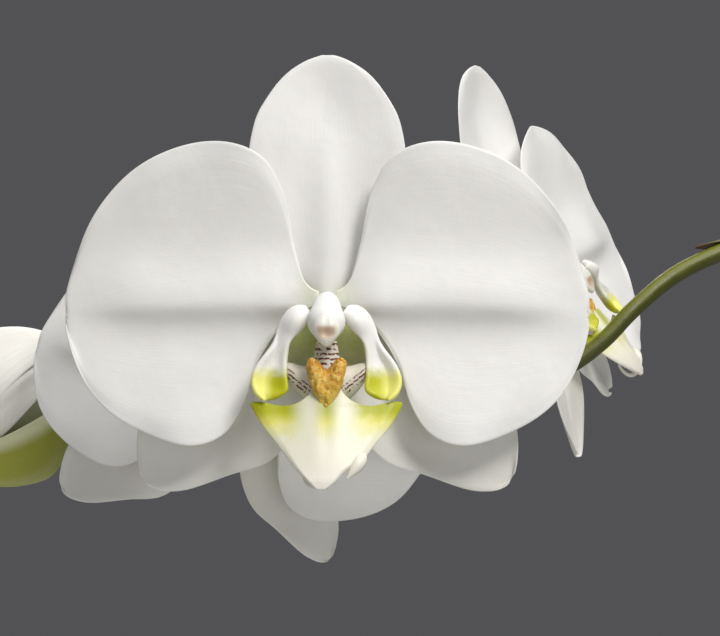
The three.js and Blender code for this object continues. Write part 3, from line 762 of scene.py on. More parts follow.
def clear_finish():
    """Clear nursery plastic, faintly clouded and scuffed."""
    f = Finish("clear_plastic", 0.14, Transmission_Weight=0.9, IOR=1.45)
    cloud = f.noise(f.own(), 60, 4)
    scuff = f.noise(f.stretched(f.own(), (1, 1, 7)), 210, 3)
    f.colour(f.mix(cloud, (0.80, 0.86, 0.85), (0.90, 0.94, 0.93)))
    f.rough(scuff, 0.08, 0.32)
    f.relief((scuff, 0.06))
    return f.material


def bamboo_finish():
    f = Finish("bamboo_tan", 0.5, Coat_Weight=0.15, Coat_Roughness=0.3)
    fibre = f.noise(f.stretched(f.own(), (1, 1, 0.04)), 1500, 4)
    cloud = f.noise(f.own(), 90, 4)
    tone = f.mix(f.ease(fibre, 0.3, 0.7), (0.42, 0.29, 0.12), (0.60, 0.45, 0.21))
    tone = f.mix(f.ease(cloud, 0.5, 0.8, 0, 0.5), tone, (0.36, 0.27, 0.11))
    f.colour(f.mix(f.noted("ring", "Fac"), tone, (0.20, 0.12, 0.05)))
    f.rough(fibre, 0.42, 0.6)
    f.relief((fibre, 0.12))
    return f.material


def clip_finish():
    f = Finish("clip_green_plastic", 0.35)
    cloud = f.noise(f.own(), 500, 3)
    f.colour(f.mix(cloud, (0.045, 0.13, 0.05), (0.06, 0.165, 0.065)))
    f.rough(cloud, 0.28, 0.42)
    f.relief((cloud, 0.05))
    return f.material


WHITE = (0.87, 0.86, 0.835)
PETAL = petal_finish("petal_white", WHITE, (0.72, 0.74, 0.60), 0.10)
SEPAL = petal_finish("sepal_white", (0.82, 0.81, 0.765), (0.36, 0.37, 0.22), 0.42)
DORSAL = petal_finish("dorsal_white", (0.84, 0.83, 0.81), (0.70, 0.70, 0.62), 0.16)
MIDLOBE = midlobe_finish()
SIDE_LOBE = side_lobe_finish()
THROAT_PAINTED_SHADE = throat_painted_shade_finish()
DASHED = dashed_finish()
CALLUS = callus_finish()
COLUMN = column_finish()
ANTHER = anther_finish()
STEM = stem_finish_painted_light("spike_olive", (0.052, 0.059, 0.003), (0.15, 0.16, 0.006))
PEDICEL = stem_finish_painted_light("pedicel_pale_green", (0.24, 0.27, 0.08), (0.50, 0.54, 0.27))
BRACT = bract_finish()
BUD_GREEN = bud_finish("bud_green", (0.52, 0.55, 0.30), (0.24, 0.29, 0.08), 0.9)
BUD_OLIVE = bud_finish("opening_bud_olive", (0.44, 0.45, 0.05), (0.27, 0.29, 0.03), 0.7,
                       (0.70, 0.71, 0.46))
BUD_CREAM = bud_finish("opening_bud_cream", (0.84, 0.82, 0.76), (0.62, 0.64, 0.46), 0.3)
BUD_INSIDE = bud_finish("opening_bud_heart", (0.62, 0.65, 0.42), (0.50, 0.55, 0.28), 0.6)
LEAF = leaf_finish()
ROOT = root_finish()
BARK = bark_finish()
GLAZE = glaze_finish()
CLEAR = clear_finish()
BAMBOO = bamboo_finish()
CLIP = clip_finish()


# ---------------------------------------------------------------- pots, bark and stake

def cover_radius(z):
    return FOOT_RADIUS + (RIM_RADIUS - FOOT_RADIUS) * (max(0.0, z) / COVER_HEIGHT) ** COVER_FLARE


def make_cover_pot():
    rings = [(0.5, 1.2), (FOOT_RADIUS - 7, 1.2), (FOOT_RADIUS - 6, 0.2), (FOOT_RADIUS - 5.4, 0),
             (FOOT_RADIUS - 1.6, 0), (FOOT_RADIUS - 0.5, 0.5), (cover_radius(1.6) - 0.1, 1.8)]
    rings += [(cover_radius(z), z)
              for z in (3, 5, 8, 12, 18, 26, 36, 48, 62, 77, 92, 106, COVER_HEIGHT - 8, COVER_HEIGHT - 3)]
    rings += [(RIM_RADIUS - inset, COVER_HEIGHT - drop)
              for inset, drop in ((0.4, 1), (1.2, 0.2), (2, 0), (2.8, 0.2), (3.6, 1))]
    rings += [(cover_radius(z) - COVER_WALL, z)
              for z in (COVER_HEIGHT - 3, 110, 92, 72, 52, 34, 20, 12)]
    rings += [(cover_radius(8) - COVER_WALL - 1.4, 7), (FOOT_RADIUS - COVER_WALL - 4, COVER_FLOOR),
              (0.5, COVER_FLOOR)]
    pot = turned(rings, 128)
    place(pot, Matrix.Identity(4))
    hand_over(pot, "cover_pot_glazed", GLAZE, "glaze", "cover_pot", angle=50)


def inner_radius(z):
    return cover_radius(z) - COVER_WALL - INNER_SIDE_GAP - INNER_LIP


def make_nursery_pot():
    lip = inner_radius(INNER_TOP) + INNER_LIP
    rings = [(0.5, INNER_BOTTOM), (inner_radius(INNER_BOTTOM) - 1, INNER_BOTTOM),
             (inner_radius(INNER_BOTTOM), INNER_BOTTOM + 1)]
    rings += [(inner_radius(z), z) for z in (14, 26, 42, 60, 80, 98, INNER_TOP - 3.6)]
    rings += [(lip - 0.5, INNER_TOP - 3.2), (lip, INNER_TOP - 2.6), (lip, INNER_TOP - 0.6),
              (lip - 0.6, INNER_TOP), (inner_radius(INNER_TOP) - INNER_WALL + 0.5, INNER_TOP),
              (inner_radius(INNER_TOP) - INNER_WALL, INNER_TOP - 0.6)]
    rings += [(inner_radius(z) - INNER_WALL, z) for z in (98, 80, 60, 42, 26, 14)]
    rings += [(inner_radius(INNER_BOTTOM) - INNER_WALL - 1, INNER_BOTTOM + INNER_WALL),
              (0.5, INNER_BOTTOM + INNER_WALL)]
    pot = turned(rings, 96)
    for i in range(DRAIN_HOLES):
        turn = i / DRAIN_HOLES * 2 * math.pi
        bpy.ops.object.select_all(action="DESELECT")
        bpy.ops.mesh.primitive_cylinder_add(
            vertices=24, radius=DRAIN_HOLE_RADIUS, depth=4 * INNER_WALL,
            location=(DRAIN_RING_RADIUS * math.cos(turn), DRAIN_RING_RADIUS * math.sin(turn),
                      INNER_BOTTOM))
        drill = bpy.context.active_object
        finish_modifier(pot, "BOOLEAN", operation="DIFFERENCE", object=drill, solver="EXACT")
        bpy.data.objects.remove(drill)
    place(pot, Matrix.Identity(4))
    hand_over(pot, "nursery_pot_clear", CLEAR, "clear_plastic", "nursery_pot", angle=40)


def bark_chip(number):
    """An irregular flat chip: a cube cut across its corners, then bevelled."""
    bpy.ops.object.select_all(action="DESELECT")
    bpy.ops.mesh.primitive_cube_add(size=1)
    chip = bpy.context.active_object
    bpy.ops.object.mode_set(mode="EDIT")
    bpy.ops.mesh.select_all(action="SELECT")
    bpy.ops.transform.resize(value=(1, 0.62 + 0.08 * (number % 3), 0.36))
    for turn in (35 + 13 * number, 160 + 29 * number):
        way = Vector((math.cos(math.radians(turn)), math.sin(math.radians(turn)), 0.25))
        bpy.ops.mesh.select_all(action="SELECT")
        bpy.ops.mesh.bisect(plane_co=way * 0.36, plane_no=way, use_fill=True, clear_outer=True)
    bpy.ops.mesh.select_all(action="SELECT")
    bpy.ops.mesh.bevel(offset=0.045, segments=1, affect="EDGES")
    bpy.ops.object.mode_set(mode="OBJECT")
    return chip


def make_bark():
    chips = [bark_chip(i) for i in range(6)]
    edge = lambda z: inner_radius(z) - INNER_WALL - BARK_GAP
    rim = edge(BARK_TOP)
    rings = [(0.5, 7)] + [(edge(z), z) for z in (7, 30, 60, 90, BARK_TOP - 7)]
    rings += [(rim - 6, BARK_TOP - 4), (rim * 0.5, BARK_TOP - 3), (0.5, BARK_TOP - 2.5)]
    mass = turned(rings, 64)
    note(mass, "chip", np.full(len(mass.data.vertices), 0.1))
    pieces = [mass]
    for _ in range(CHIP_COUNT):
        reach = rim * math.sqrt(random.uniform(0.035, 1))
        turn = random.uniform(0, 2 * math.pi)
        size = random.uniform(8, 15)
        reach = min(reach, rim - size * 0.52)
        chip = random.choice(chips).copy()
        chip.data = chip.data.copy()
        bpy.context.collection.objects.link(chip)
        tilt = Matrix.Rotation(random.gauss(0, 0.38), 4, "X") @ Matrix.Rotation(
            random.gauss(0, 0.38), 4, "Y")
        where = Matrix.Translation((reach * math.cos(turn), reach * math.sin(turn),
                                    BARK_TOP - 3 + random.uniform(-1.5, 2.2)))
        chip.data.transform(where @ Matrix.Rotation(random.uniform(0, 6.28), 4, "Z") @ tilt
                            @ Matrix.Scale(size, 4))
        note(chip, "chip", np.full(len(chip.data.vertices), random.random()))
        pieces.append(chip)
    bark = joined(pieces)
    for chip in chips:
        bpy.data.objects.remove(chip)
    place(bark, Matrix.Identity(4))
    hand_over(bark, "bark_chips", BARK, "bark", "bark_medium", angle=30)


def make_stake():
    rings = [(0.3, STAKE_BOTTOM), (STAKE_RADIUS - 0.5, STAKE_BOTTOM),
             (STAKE_RADIUS - 0.1, STAKE_BOTTOM + 0.6)]
    for z in STAKE_NODES:
        rings += [(STAKE_RADIUS - 0.1, z - 4), (STAKE_RADIUS + 0.05, z - 1.2),
                  (STAKE_RADIUS + 0.2, z - 0.4), (STAKE_RADIUS - 0.15, z),
                  (STAKE_RADIUS + 0.12, z + 0.5), (STAKE_RADIUS - 0.1, z + 3)]
    rings += [(STAKE_RADIUS - 0.1, STAKE_TOP - 0.8), (STAKE_RADIUS - 0.6, STAKE_TOP),
              (0.9, STAKE_TOP), (0.8, STAKE_TOP - 2), (0.3, STAKE_TOP - 2.2)]
    stake = turned(rings, 24)
    z = corners(stake)[:, 2]
    marks = np.max([np.exp(-((z - n) / 0.7) ** 2) for n in STAKE_NODES], axis=0)
    note(stake, "ring", marks)
    place(stake, Matrix.Translation((STAKE_X, STAKE_Y, 0)))
    hand_over(stake, "bamboo_stake_ringed", BAMBOO, "bamboo", "bamboo_stake", angle=40)


def make_clips():
    for number in (1, 2):
        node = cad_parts[f"stake_clip_{number}"]
        clip = node.copy()
        clip.data = node.data.copy()
        bpy.context.collection.objects.link(clip)
        in_edit_mode(clip, lambda: bpy.ops.mesh.remove_doubles(threshold=1e-6),
                     lambda: bpy.ops.mesh.tris_convert_to_quads())
        finish_modifier(clip, "BEVEL", width=0.35 * MM, segments=3, limit_method="ANGLE",
                        angle_limit=math.radians(60))
        hand_over(clip, f"clip_{number}", CLIP, "clip", f"stake_clip_{number}", angle=35)


# ---------------------------------------------------------------- crown, leaves and roots

def crown_radius(z):
    share = (z - (BARK_TOP - CROWN_DEPTH)) / (CROWN_DEPTH + CROWN_RISE)
    return CROWN_BASE_RADIUS + (CROWN_TOP_RADIUS - CROWN_BASE_RADIUS) * share


def make_crown():
    bottom, top = BARK_TOP - CROWN_DEPTH, BARK_TOP + CROWN_RISE
    rings = [(0.5, bottom), (CROWN_BASE_RADIUS - 2, bottom)]
    for i in range(1, 24):
        z = bottom + (top - 4 - bottom) * i / 23
        rings.append((crown_radius(z) + (0.35 if i % 4 == 0 else 0), z))
    rings += [(crown_radius(top) - 1.2, top - 2), (crown_radius(top) - 3.2, top - 0.4), (0.4, top)]
    crown = turned(rings, 32)
    z = corners(crown)[:, 2]
    note(crown, "blade", np.stack([np.clip((z - bottom) / 300, 0, 1), z * 0 + 0.5, z * 0], axis=1))
    place(crown, Matrix.Identity(4))
    hand_over(crown, "crown_stem", LEAF, "leaf", "crown")


def leaf_half_width(form, share):
    oval = lambda s: np.sin(
        np.pi * (LEAF_ROUND_BASE + s * (1 - LEAF_ROUND_BASE)) ** LEAF_LEAN) ** LEAF_FULLNESS
    full = (LEAF_BASE_WIDTH + (form["width"] - LEAF_BASE_WIDTH)
            * np.minimum(1, share / LEAF_SHOULDER)) / 2
    body = np.where(share < LEAF_SHOULDER, 1, oval(np.clip(share, 0, 0.985)) / oval(LEAF_SHOULDER))
    tip = np.sqrt(np.clip((1 - share) / 0.05, 0, 1))
    return full * body * np.maximum(tip, 0.04)


def make_leaf(number, form):
    """A strap leaf: sheathing base, channelled blade with a midrib, gently waved margins."""
    z0 = BARK_TOP + LEAF_FIRST_RISE + number * LEAF_SPACING
    lift = math.radians(form["lift"])
    start = np.array([crown_radius(z0) + 0.3, 0, z0])
    ahead = np.array([math.cos(lift), 0, math.sin(lift)])
    middle = start + ahead * form["length"] / 2
    tip = start + ahead * form["length"] - np.array([0, 0, form["drop"]])
    t = np.linspace(0, 1, 400)[:, None]
    spine = (1 - t) ** 2 * start + 2 * t * (1 - t) * middle + t ** 2 * tip
    steps = np.concatenate([[0], np.cumsum(np.linalg.norm(np.diff(spine, axis=0), axis=1))])
    steps /= steps[-1]
    phase = 1.7 * number

    def surface(share, side):
        along = lambda s, axis: np.interp(s, steps, spine[:, axis])
        x, z = along(share, 0), along(share, 2)
        ahead_x = along(share + 0.004, 0) - along(share - 0.004, 0)
        ahead_z = along(share + 0.004, 2) - along(share - 0.004, 2)
        size = np.hypot(ahead_x, ahead_z)
        up_x, up_z = -ahead_z / size, ahead_x / size
        half = leaf_half_width(form, share)
        flatter = (LEAF_FOLD_AT_TIP - LEAF_FOLD_AT_BASE) * np.minimum(1, share / LEAF_SHOULDER)
        fold = LEAF_FOLD_AT_BASE + flatter
        rise = half * fold * (np.abs(side) ** 1.35)
        rise -= 1.1 * np.exp(-(side / 0.045) ** 2) * smoothstep(1.0, 0.85, share)
        wave = np.sin(share * 15 + phase + side) * np.abs(side) ** 3
        rise += 0.9 * wave * smoothstep(0.1, 0.4, share)
        rise -= LEAF_THICKNESS / 2
        blade = np.stack([x + up_x * rise, side * half, z + up_z * rise], axis=1)
        turn = side * 1.35
        hug = crown_radius(z0) + 0.7
        sheath = np.stack([hug * np.cos(turn), hug * np.sin(turn), z0 + 1 - 7 * np.abs(side) ** 2
                           + share * 40], axis=1)
        open_up = smoothstep(0.0, 0.13, share)[:, None]
        return sheath * (1 - open_up) + blade * open_up

    leaf = sheet(surface, 32, 60, LEAF_THICKNESS, rim=0.3)
    place(leaf, Matrix.Rotation(math.radians(form["turn"]), 4, "Z"))
    hand_over(leaf, f"leaf_{number + 1}_blade", LEAF, "leaf", f"leaf_{number + 1}")


def make_roots():
    for number, route in enumerate(ROOT_ROUTES, 1):
        path = curve_points([(x, y, BARK_TOP + up) for x, y, up in route], 90)
        share = np.linspace(0, 1, 90)
        radii = ROOT_RADIUS + (ROOT_TIP_RADIUS - ROOT_RADIUS) * share
        radii = radii * (1 + 0.05 * np.sin(share * 31 + number) * np.sin(share * 13))
        root = stalk(path, radii - 0.05, 20)
        place(root, Matrix.Identity(4))
        hand_over(root, f"root_{number}", ROOT, "root", f"aerial_root_{number}")


# ---------------------------------------------------------------- spike

SPIKE_SAMPLES = 700
SPIKE_PATH = curve_points(SPIKE_ROUTE, SPIKE_SAMPLES)
SPIKE_JOINTS = [f["joins"] for f in FLOWERS.values()] + [b["joins"] for b in BUDS.values()]
SPIKE_NODES = [0.10, 0.215, 0.33, 0.435, 0.53, 0.655, 0.745]


def spike_radius(share):
    taper = SPIKE_BASE_RADIUS + (SPIKE_TIP_RADIUS - SPIKE_BASE_RADIUS) * share ** 1.3
    return taper * (1 + SPIKE_ARCH_SWELL * np.exp(-((share - SPIKE_ARCH_AT) / SPIKE_ARCH_REACH) ** 2))


def spike_place(share):
    return SPIKE_PATH[int(round(share * (SPIKE_SAMPLES - 1)))]


def spike_heading(share):
    i = min(SPIKE_SAMPLES - 3, max(2, int(round(share * (SPIKE_SAMPLES - 1)))))
    way = SPIKE_PATH[i + 2] - SPIKE_PATH[i - 2]
    return way / np.linalg.norm(way)


def bract(share, outward, length):
    """A pointed scale that wraps the stem below a joint."""
    at, ahead = spike_place(share), spike_heading(share)
    out = np.array(outward, float) - ahead * np.dot(outward, ahead)
    out /= np.linalg.norm(out)
    side_way = np.cross(ahead, out)
    radius = float(spike_radius(share))

    def surface(along, side):
        wrap = side * (1.9 - 1.3 * along) * np.sqrt(np.clip(1.02 - along, 0, 1))
        reach = radius + 0.25 + 1.3 * along ** 1.6
        run = (along - 0.35) * length
        return (at + np.outer(reach * np.cos(wrap), out) + np.outer(reach * np.sin(wrap), side_way)
                + np.outer(run, ahead))
    return sheet(surface, 10, 10, 0.45, rim=0.4)


def make_spike():
    share = np.linspace(0, 1, SPIKE_SAMPLES)
    radii = spike_radius(share)
    for at in SPIKE_NODES + SPIKE_JOINTS:
        radii = radii * (1 + 0.13 * np.exp(-((share - at) / 0.0042) ** 2))
    spike = stalk(SPIKE_PATH, radii, 20)
    place(spike, Matrix.Identity(4))
    hand_over(spike, "spike_stem", STEM, "stem", "flower_spike")
    scales = []
    for i, at in enumerate(SPIKE_NODES):
        scales.append(bract(at, (-1, 0.1, 0.3) if i % 2 else (1, -0.1, 0.3), 11))
    for at, form in zip(SPIKE_JOINTS, list(FLOWERS.values()) + list(BUDS.values())):
        towards = np.array(form["by"][-1], float) - spike_place(at)
        scales.append(bract(at, towards, 5.5))
    bracts = joined(scales)
    place(bracts, Matrix.Identity(4))
    hand_over(bracts, "spike_bracts", BRACT, "stem")


def make_pedicel(name, start, heading, form, radius_at):
    end = spike_place(form["joins"])
    route = [start, start + heading * PEDICEL_STRAIGHT] + [np.array(p, float) for p in form["by"]]
    path = curve_points(route + [end], 70)
    share = np.linspace(0, 1, 70)
    stem = stalk(path, [radius_at(s) for s in share], 16, round_tip=False)
    place(stem, Matrix.Identity(4))
    hand_over(stem, f"{name}_stalk", PEDICEL, "stem", f"{name}_pedicel")


# ---------------------------------------------------------------- flowers

def petal_depth(x, z, share, side):
    """Flat, with a ridged midrib, hollows beside it, and margins that come forward in waves."""
    base = 2 * (x / 55) ** 2 + 1.5 * (z / 33) ** 2
    rib = -0.6 - 0.02 * np.abs(x)
    above = np.exp(-(np.maximum(0, z - rib) / 7.5) ** 2)
    below = np.exp(-(np.maximum(0, rib - z) / 2.4) ** 2)
    reach = smoothstep(3, 12, np.abs(x)) * smoothstep(54, 36, np.abs(x))
    ridge = 2.0 * reach * np.where(z > rib, above, below)
    hollow = 0.7 * reach * np.exp(-((z - rib + 6) / 5.0) ** 2)
    upper = 4.0 * smoothstep(9, 36, z)
    lower = 4.4 * smoothstep(-6, -34, z)
    edge = np.abs(side) ** 5 * smoothstep(0.08, 0.3, share)
    wave = edge * (0.6 * np.sin(share * 17 + side * 2) + 0.35 * np.sin(share * 31 + side))
    return base - ridge + hollow - upper - lower + wave + 0.5


def dorsal_depth(x, z, share, side):
    base = 5 + 3 * (z / 52) ** 2 - 1.2 * (x / 17) ** 2
    band = -1.5 * np.exp(-(x / 3.4) ** 2) * smoothstep(46, 10, z)
    dip = 1.3 * np.exp(-(x / 6) ** 2 - ((z - 42) / 9) ** 2)
    wave = np.abs(side) ** 5 * 0.35 * np.sin(share * 15 + side)
    return base + band + dip + wave


def lateral_depth(x, z, share, side):
    base = 5 + 3 * (x * x + z * z) / 54 ** 2
    crease = 0.7 * np.exp(-((side + 0.1) / 0.16) ** 2) * smoothstep(0.95, 0.3, share)
    cup = -1.1 * np.abs(side) ** 3
    return base + crease + cup + np.abs(side) ** 5 * 0.35 * np.sin(share * 14 + side * 2)


def midlobe_depth(x, z, share, side):
    base = -8.3 + 0.5 * (z + 15) + 0.02 * x * x
    keel = -0.8 * np.exp(-(x / 4.2) ** 2) * smoothstep(-39, -30, z)
    groove = 0.35 * np.exp(-(x / 1.4) ** 2) * smoothstep(-36, -28, z)
    curl = -1.4 * smoothstep(8, 15, np.abs(x))
    return base + keel + groove + curl


def side_lobe_depth(x, z, share, side):
    base = -3.4 + 0.36 * (z + 2) - 0.3 * (12 - np.abs(x))
    hood = -2.2 * np.exp(-((share - 0.16) / 0.14) ** 2) * (1 - side ** 2)
    hollow = 1.3 * (1 - side ** 2) * smoothstep(0.35, 0.6, share) * smoothstep(1.0, 0.8, share)
    rim = -1.5 * smoothstep(0.2, 1.0, -side) * smoothstep(0.3, 0.6, share)
    return base + hood + hollow + rim


def throat_surface(share, side):
    x = side * (8.4 + 2.0 * share)
    z = -2.2 - 14.5 * share
    return np.stack([x, 1.6 - 3.4 * side ** 2 - 3.2 * share, z], axis=1)


def tongue_surface(share, side):
    x = side * (2.1 + 1.5 * share)
    z = -8.6 - 8.5 * share
    return np.stack([x, -4.5 - 6 * share - 1.2 * (1 - side ** 2), z], axis=1)


def make_lip(parts):
    """The lip's midlobe, side lobes, throat, dashed floor, callus and curled tips."""
    midlobe = between(MIDLOBE_FREE_EDGE, mirrored(MIDLOBE_EDGE), midlobe_depth, 36, 48,
                      LIP_THICKNESS, LIP_RIM)
    at = corners(midlobe)
    at[:, 2] += 1.3 * smoothstep(8, 15.6, np.abs(at[:, 0])) * smoothstep(-28, -23, at[:, 2])
    set_corners(midlobe, at)
    lobes = joined([
        between(outer, inner, side_lobe_depth, 16, 28, LIP_THICKNESS, LIP_RIM)
        for outer, inner in ((SIDE_LOBE_OUTER, SIDE_LOBE_INNER),
                             (mirrored(SIDE_LOBE_OUTER), mirrored(SIDE_LOBE_INNER)))])
    throat = sheet(throat_surface, 20, 16, 0.8)
    floor = egg((9.2, 4.0, 4.0), (0, -6.9, -18.2), 48, 32)
    at = corners(floor)
    at[:, 2] += 0.05 * at[:, 0] ** 2
    at[:, 1] += 1.2 * np.exp(-((np.abs(at[:, 0]) - 5.6) / 2.2) ** 2) * (at[:, 1] < -6.8)
    set_corners(floor, at)
    note(floor, "blade", at)
    dashed = joined([floor, sheet(tongue_surface, 12, 14, 0.7)])
    callus = egg((4.6, 2.4, 5.7), (0, -11.2, -18.0), 56, 40)
    at = corners(callus)
    share = np.clip((at[:, 2] + 23.8) / 11.6, 0, 1)
    at[:, 0] *= (0.16 + 1.02 * share ** 0.95) * (1 + 0.5 * share ** 6)
    at[:, 2] += (1.7 * (np.abs(at[:, 0]) / 4.3) - 2.2 * np.exp(-(at[:, 0] / 1.7) ** 2)) * share ** 2
    at[:, 1] -= 1.0 * np.exp(-((np.abs(at[:, 0]) - 3.0) / 1.1) ** 2) * share
    at[:, 1] += 0.8 * np.exp(-(at[:, 0] / 1.3) ** 2) * share
    for i, p in enumerate(at):
        lump = noise.noise(Vector(p) * 0.9) * 0.5 + noise.noise(Vector(p) * 2.3) * 0.3
        at[i] += lump * np.array((0.5, 1.0, 0.3))
    set_corners(callus, at)
    cirri = []
    share = np.linspace(0, 1, 30)
    for way, route, radii in ((-1, CIRRUS_ROUTE, 0.75 - 0.45 * share),
                              (1, FREE_CIRRUS_ROUTE, 0.25 + 1.15 * np.sin(math.pi * share ** 0.8))):
        path = curve_points([(way * x, y, z) for x, y, z in route], 30)
        cirri.append(stalk(path, radii, 12))
    parts["lip_midlobe"] = (midlobe, MIDLOBE)
    parts["lip_side_lobes"] = (lobes, SIDE_LOBE)
    parts["lip_throat"] = (throat, THROAT_PAINTED_SHADE)
    parts["lip_floor"] = (dashed, DASHED)
    parts["lip_callus"] = (callus, CALLUS)
    parts["lip_tips"] = (joined(cirri), MIDLOBE)


def make_column():
    path = curve_points(COLUMN_ROUTE, 40)
    share = np.linspace(0, 1, 40)
    body = stalk(path, 2.1 + 1.8 * share ** 1.6, 24, levels=1)
    at = corners(body)
    hood = smoothstep(-5, -12, at[:, 1])
    at[:, 0] *= 1 + 0.06 * hood * smoothstep(0, -6, at[:, 2])
    set_corners(body, at)
    return body


def make_anther():
    cap = egg((2.9, 2.2, 3.3), (0, -14.0, -6.3), 32, 24)
    at = corners(cap)
    low = smoothstep(-6.5, -9.6, at[:, 2])
    at[:, 0] *= 1 - 0.35 * low
    at[:, 1] += 0.35 * np.exp(-(at[:, 0] / 0.5) ** 2) * smoothstep(-9, -6, at[:, 2])
    at[:, 1] += 0.9 * np.exp(-((at[:, 0] / 1.7) ** 2 + ((at[:, 2] + 6.9) / 0.9) ** 2))
    set_corners(cap, at)
    return cap


def flower_pieces():
    """One flower's parts in its own frame, facing -Y, as name: (piece, material)."""
    parts = {
        "dorsal_sepal": (between(DORSAL_EDGE, mirrored(DORSAL_EDGE), dorsal_depth), DORSAL),
        "right_petal": (between(PETAL_UPPER, PETAL_LOWER, petal_depth, 56, 44), PETAL),
        "left_petal": (between(mirrored(PETAL_UPPER), mirrored(PETAL_LOWER), petal_depth, 56, 44),
                       PETAL),
        "right_lateral_sepal": (between(LATERAL_OUTER, LATERAL_INNER, lateral_depth), SEPAL),
        "left_lateral_sepal": (between(mirrored(LATERAL_OUTER), mirrored(LATERAL_INNER),
                                       lateral_depth), SEPAL),
        "column": (make_column(), COLUMN),
        "anther_cap": (make_anther(), ANTHER),
    }
    make_lip(parts)
    for piece, _ in parts.values():
        note(piece, "flower", corners(piece))
    return parts


def flower_matrix(form):
    turn = (Matrix.Rotation(math.radians(form["yaw"]), 4, "Z")
            @ Matrix.Rotation(math.radians(form["pitch"]), 4, "X")
            @ Matrix.Rotation(math.radians(form["roll"]), 4, "Y"))
    return Matrix.Translation(form["at"]) @ turn @ Matrix.Scale(form["size"], 4)


def pose_matrix(swing, lean, size):
    return (Matrix.Rotation(math.radians(-lean), 4, "X")
            @ Matrix.Rotation(math.radians(swing), 4, "Y") @ Matrix.Scale(size, 4))


def slimmed(direction, share):
    """Narrows a piece across a direction given in degrees in the flower's plane."""
    turn = Matrix.Rotation(math.radians(-direction), 4, "Y")
    return turn @ Matrix.Scale(share, 4, (0, 0, 1)) @ turn.inverted()


# Small differences between one flower's pieces and another's.
GROWTH = {
    ("flower_2", "right_lateral_sepal"): slimmed(-45, 0.76),
    ("flower_2", "lip"): Matrix.Scale(0.9, 4),
    ("flower_3", "dorsal_sepal"): Matrix.Rotation(math.radians(6), 4, "Y"),
    ("flower_3", "right_petal"): Matrix.Translation((-1.4, 2.6, 0)),
    ("flower_3", "column"): Matrix.Scale(0.45, 4, (0, 1, 0)),
    ("flower_3", "anther_cap"): Matrix.Scale(0.45, 4, (0, 1, 0)),
    ("flower_3", "lip_callus"): Matrix.Scale(0.55, 4, (0, 1, 0)),
    ("flower_3", "lip_floor"): Matrix.Scale(0.6, 4, (0, 1, 0)),
    ("flower_3", "right_lateral_sepal"): slimmed(-52, 0.62),
    ("flower_3", "left_lateral_sepal"): slimmed(67, 0.62),
    ("flower_3", "left_petal"): slimmed(0, 0.84),
    ("flower_3", "lip_side_lobes"): Matrix.Scale(1.35, 4, (0, 1, 0)),
}
# How far a sepal bows back below BOW_REACH and forwards above it, as a share of its height.
BOWS = {("flower_3", "dorsal_sepal"): 0.31}
BOW_REACH = 48
SLOTS = {"column": "column", "anther_cap": "column"}


def make_flowers():
    parts = flower_pieces()
    for name, form in FLOWERS.items():
        matrix = flower_matrix(form)
        for part, (model, material) in parts.items():
            node = "lip" if part.startswith("lip_") else part
            piece = model.copy()
            piece.data = model.data.copy()
            bpy.context.collection.objects.link(piece)
            pose = pose_matrix(*form["pose"].get(node, (0, 0, 1)))
            if (name, part) in BOWS:
                at = corners(piece)
                at[:, 1] += BOWS[name, part] * at[:, 2] * (1 - at[:, 2] / BOW_REACH)
                set_corners(piece, at)
            growth = GROWTH.get((name, part), GROWTH.get((name, node), Matrix.Identity(4)))
            place(piece, matrix @ growth @ pose)
            hand_over(piece, f"{name}_{part}_petalwork", material,
                      SLOTS.get(part, "lip" if node == "lip" else "petal"), f"{name}_{node}")
        start = np.array(matrix @ Vector((0, COLUMN_BACK + 0.2, 0)))
        heading = np.array((matrix.to_3x3().normalized() @ Vector((0, 1, 0))))
        make_pedicel(name, start, heading, form,
                     lambda s: PEDICEL_RADIUS * (1.25 - 0.35 * s) * (1 + 0.12 * (1 - s) ** 6))
    for model, _ in parts.values():
        bpy.data.objects.remove(model)


# ---------------------------------------------------------------- buds

def bud_matrix(form):
    tip = Vector(form["tip"]).normalized()
    turn = Vector((0, 0, 1)).rotation_difference(tip)
    return Matrix.Translation(form["at"]) @ turn.to_matrix().to_4x4()


def bud_profile(form, share):
    angle = math.pi * share
    radius = form["radius"] * np.sin(angle) * (1 + 0.12 * np.cos(angle))
    return radius, -form["length"] / 2 * np.cos(angle)


def make_closed_bud(name):
    """A closed bud: an egg with three seams where its sepals meet."""
    form = BUDS[name]
    bud = egg((1, 1, 1), segments=60, rings=40)
    unit = corners(bud)
    share = np.arccos(np.clip(-unit[:, 2], -1, 1)) / math.pi
    turn = np.arctan2(unit[:, 1], unit[:, 0])
    radius, height = bud_profile(form, share)
    seam = np.abs(np.cos(1.5 * turn)) ** 14
    radius = radius * (1 - 0.07 * seam * np.sin(np.pi * share))
    set_corners(bud, np.stack([radius * np.cos(turn), radius * np.sin(turn), height], axis=1))
    note(bud, "blade", np.stack([share, turn, 0 * turn], axis=1))
    place(bud, bud_matrix(form))
    hand_over(bud, f"{name}_closed", BUD_GREEN, "bud", name)


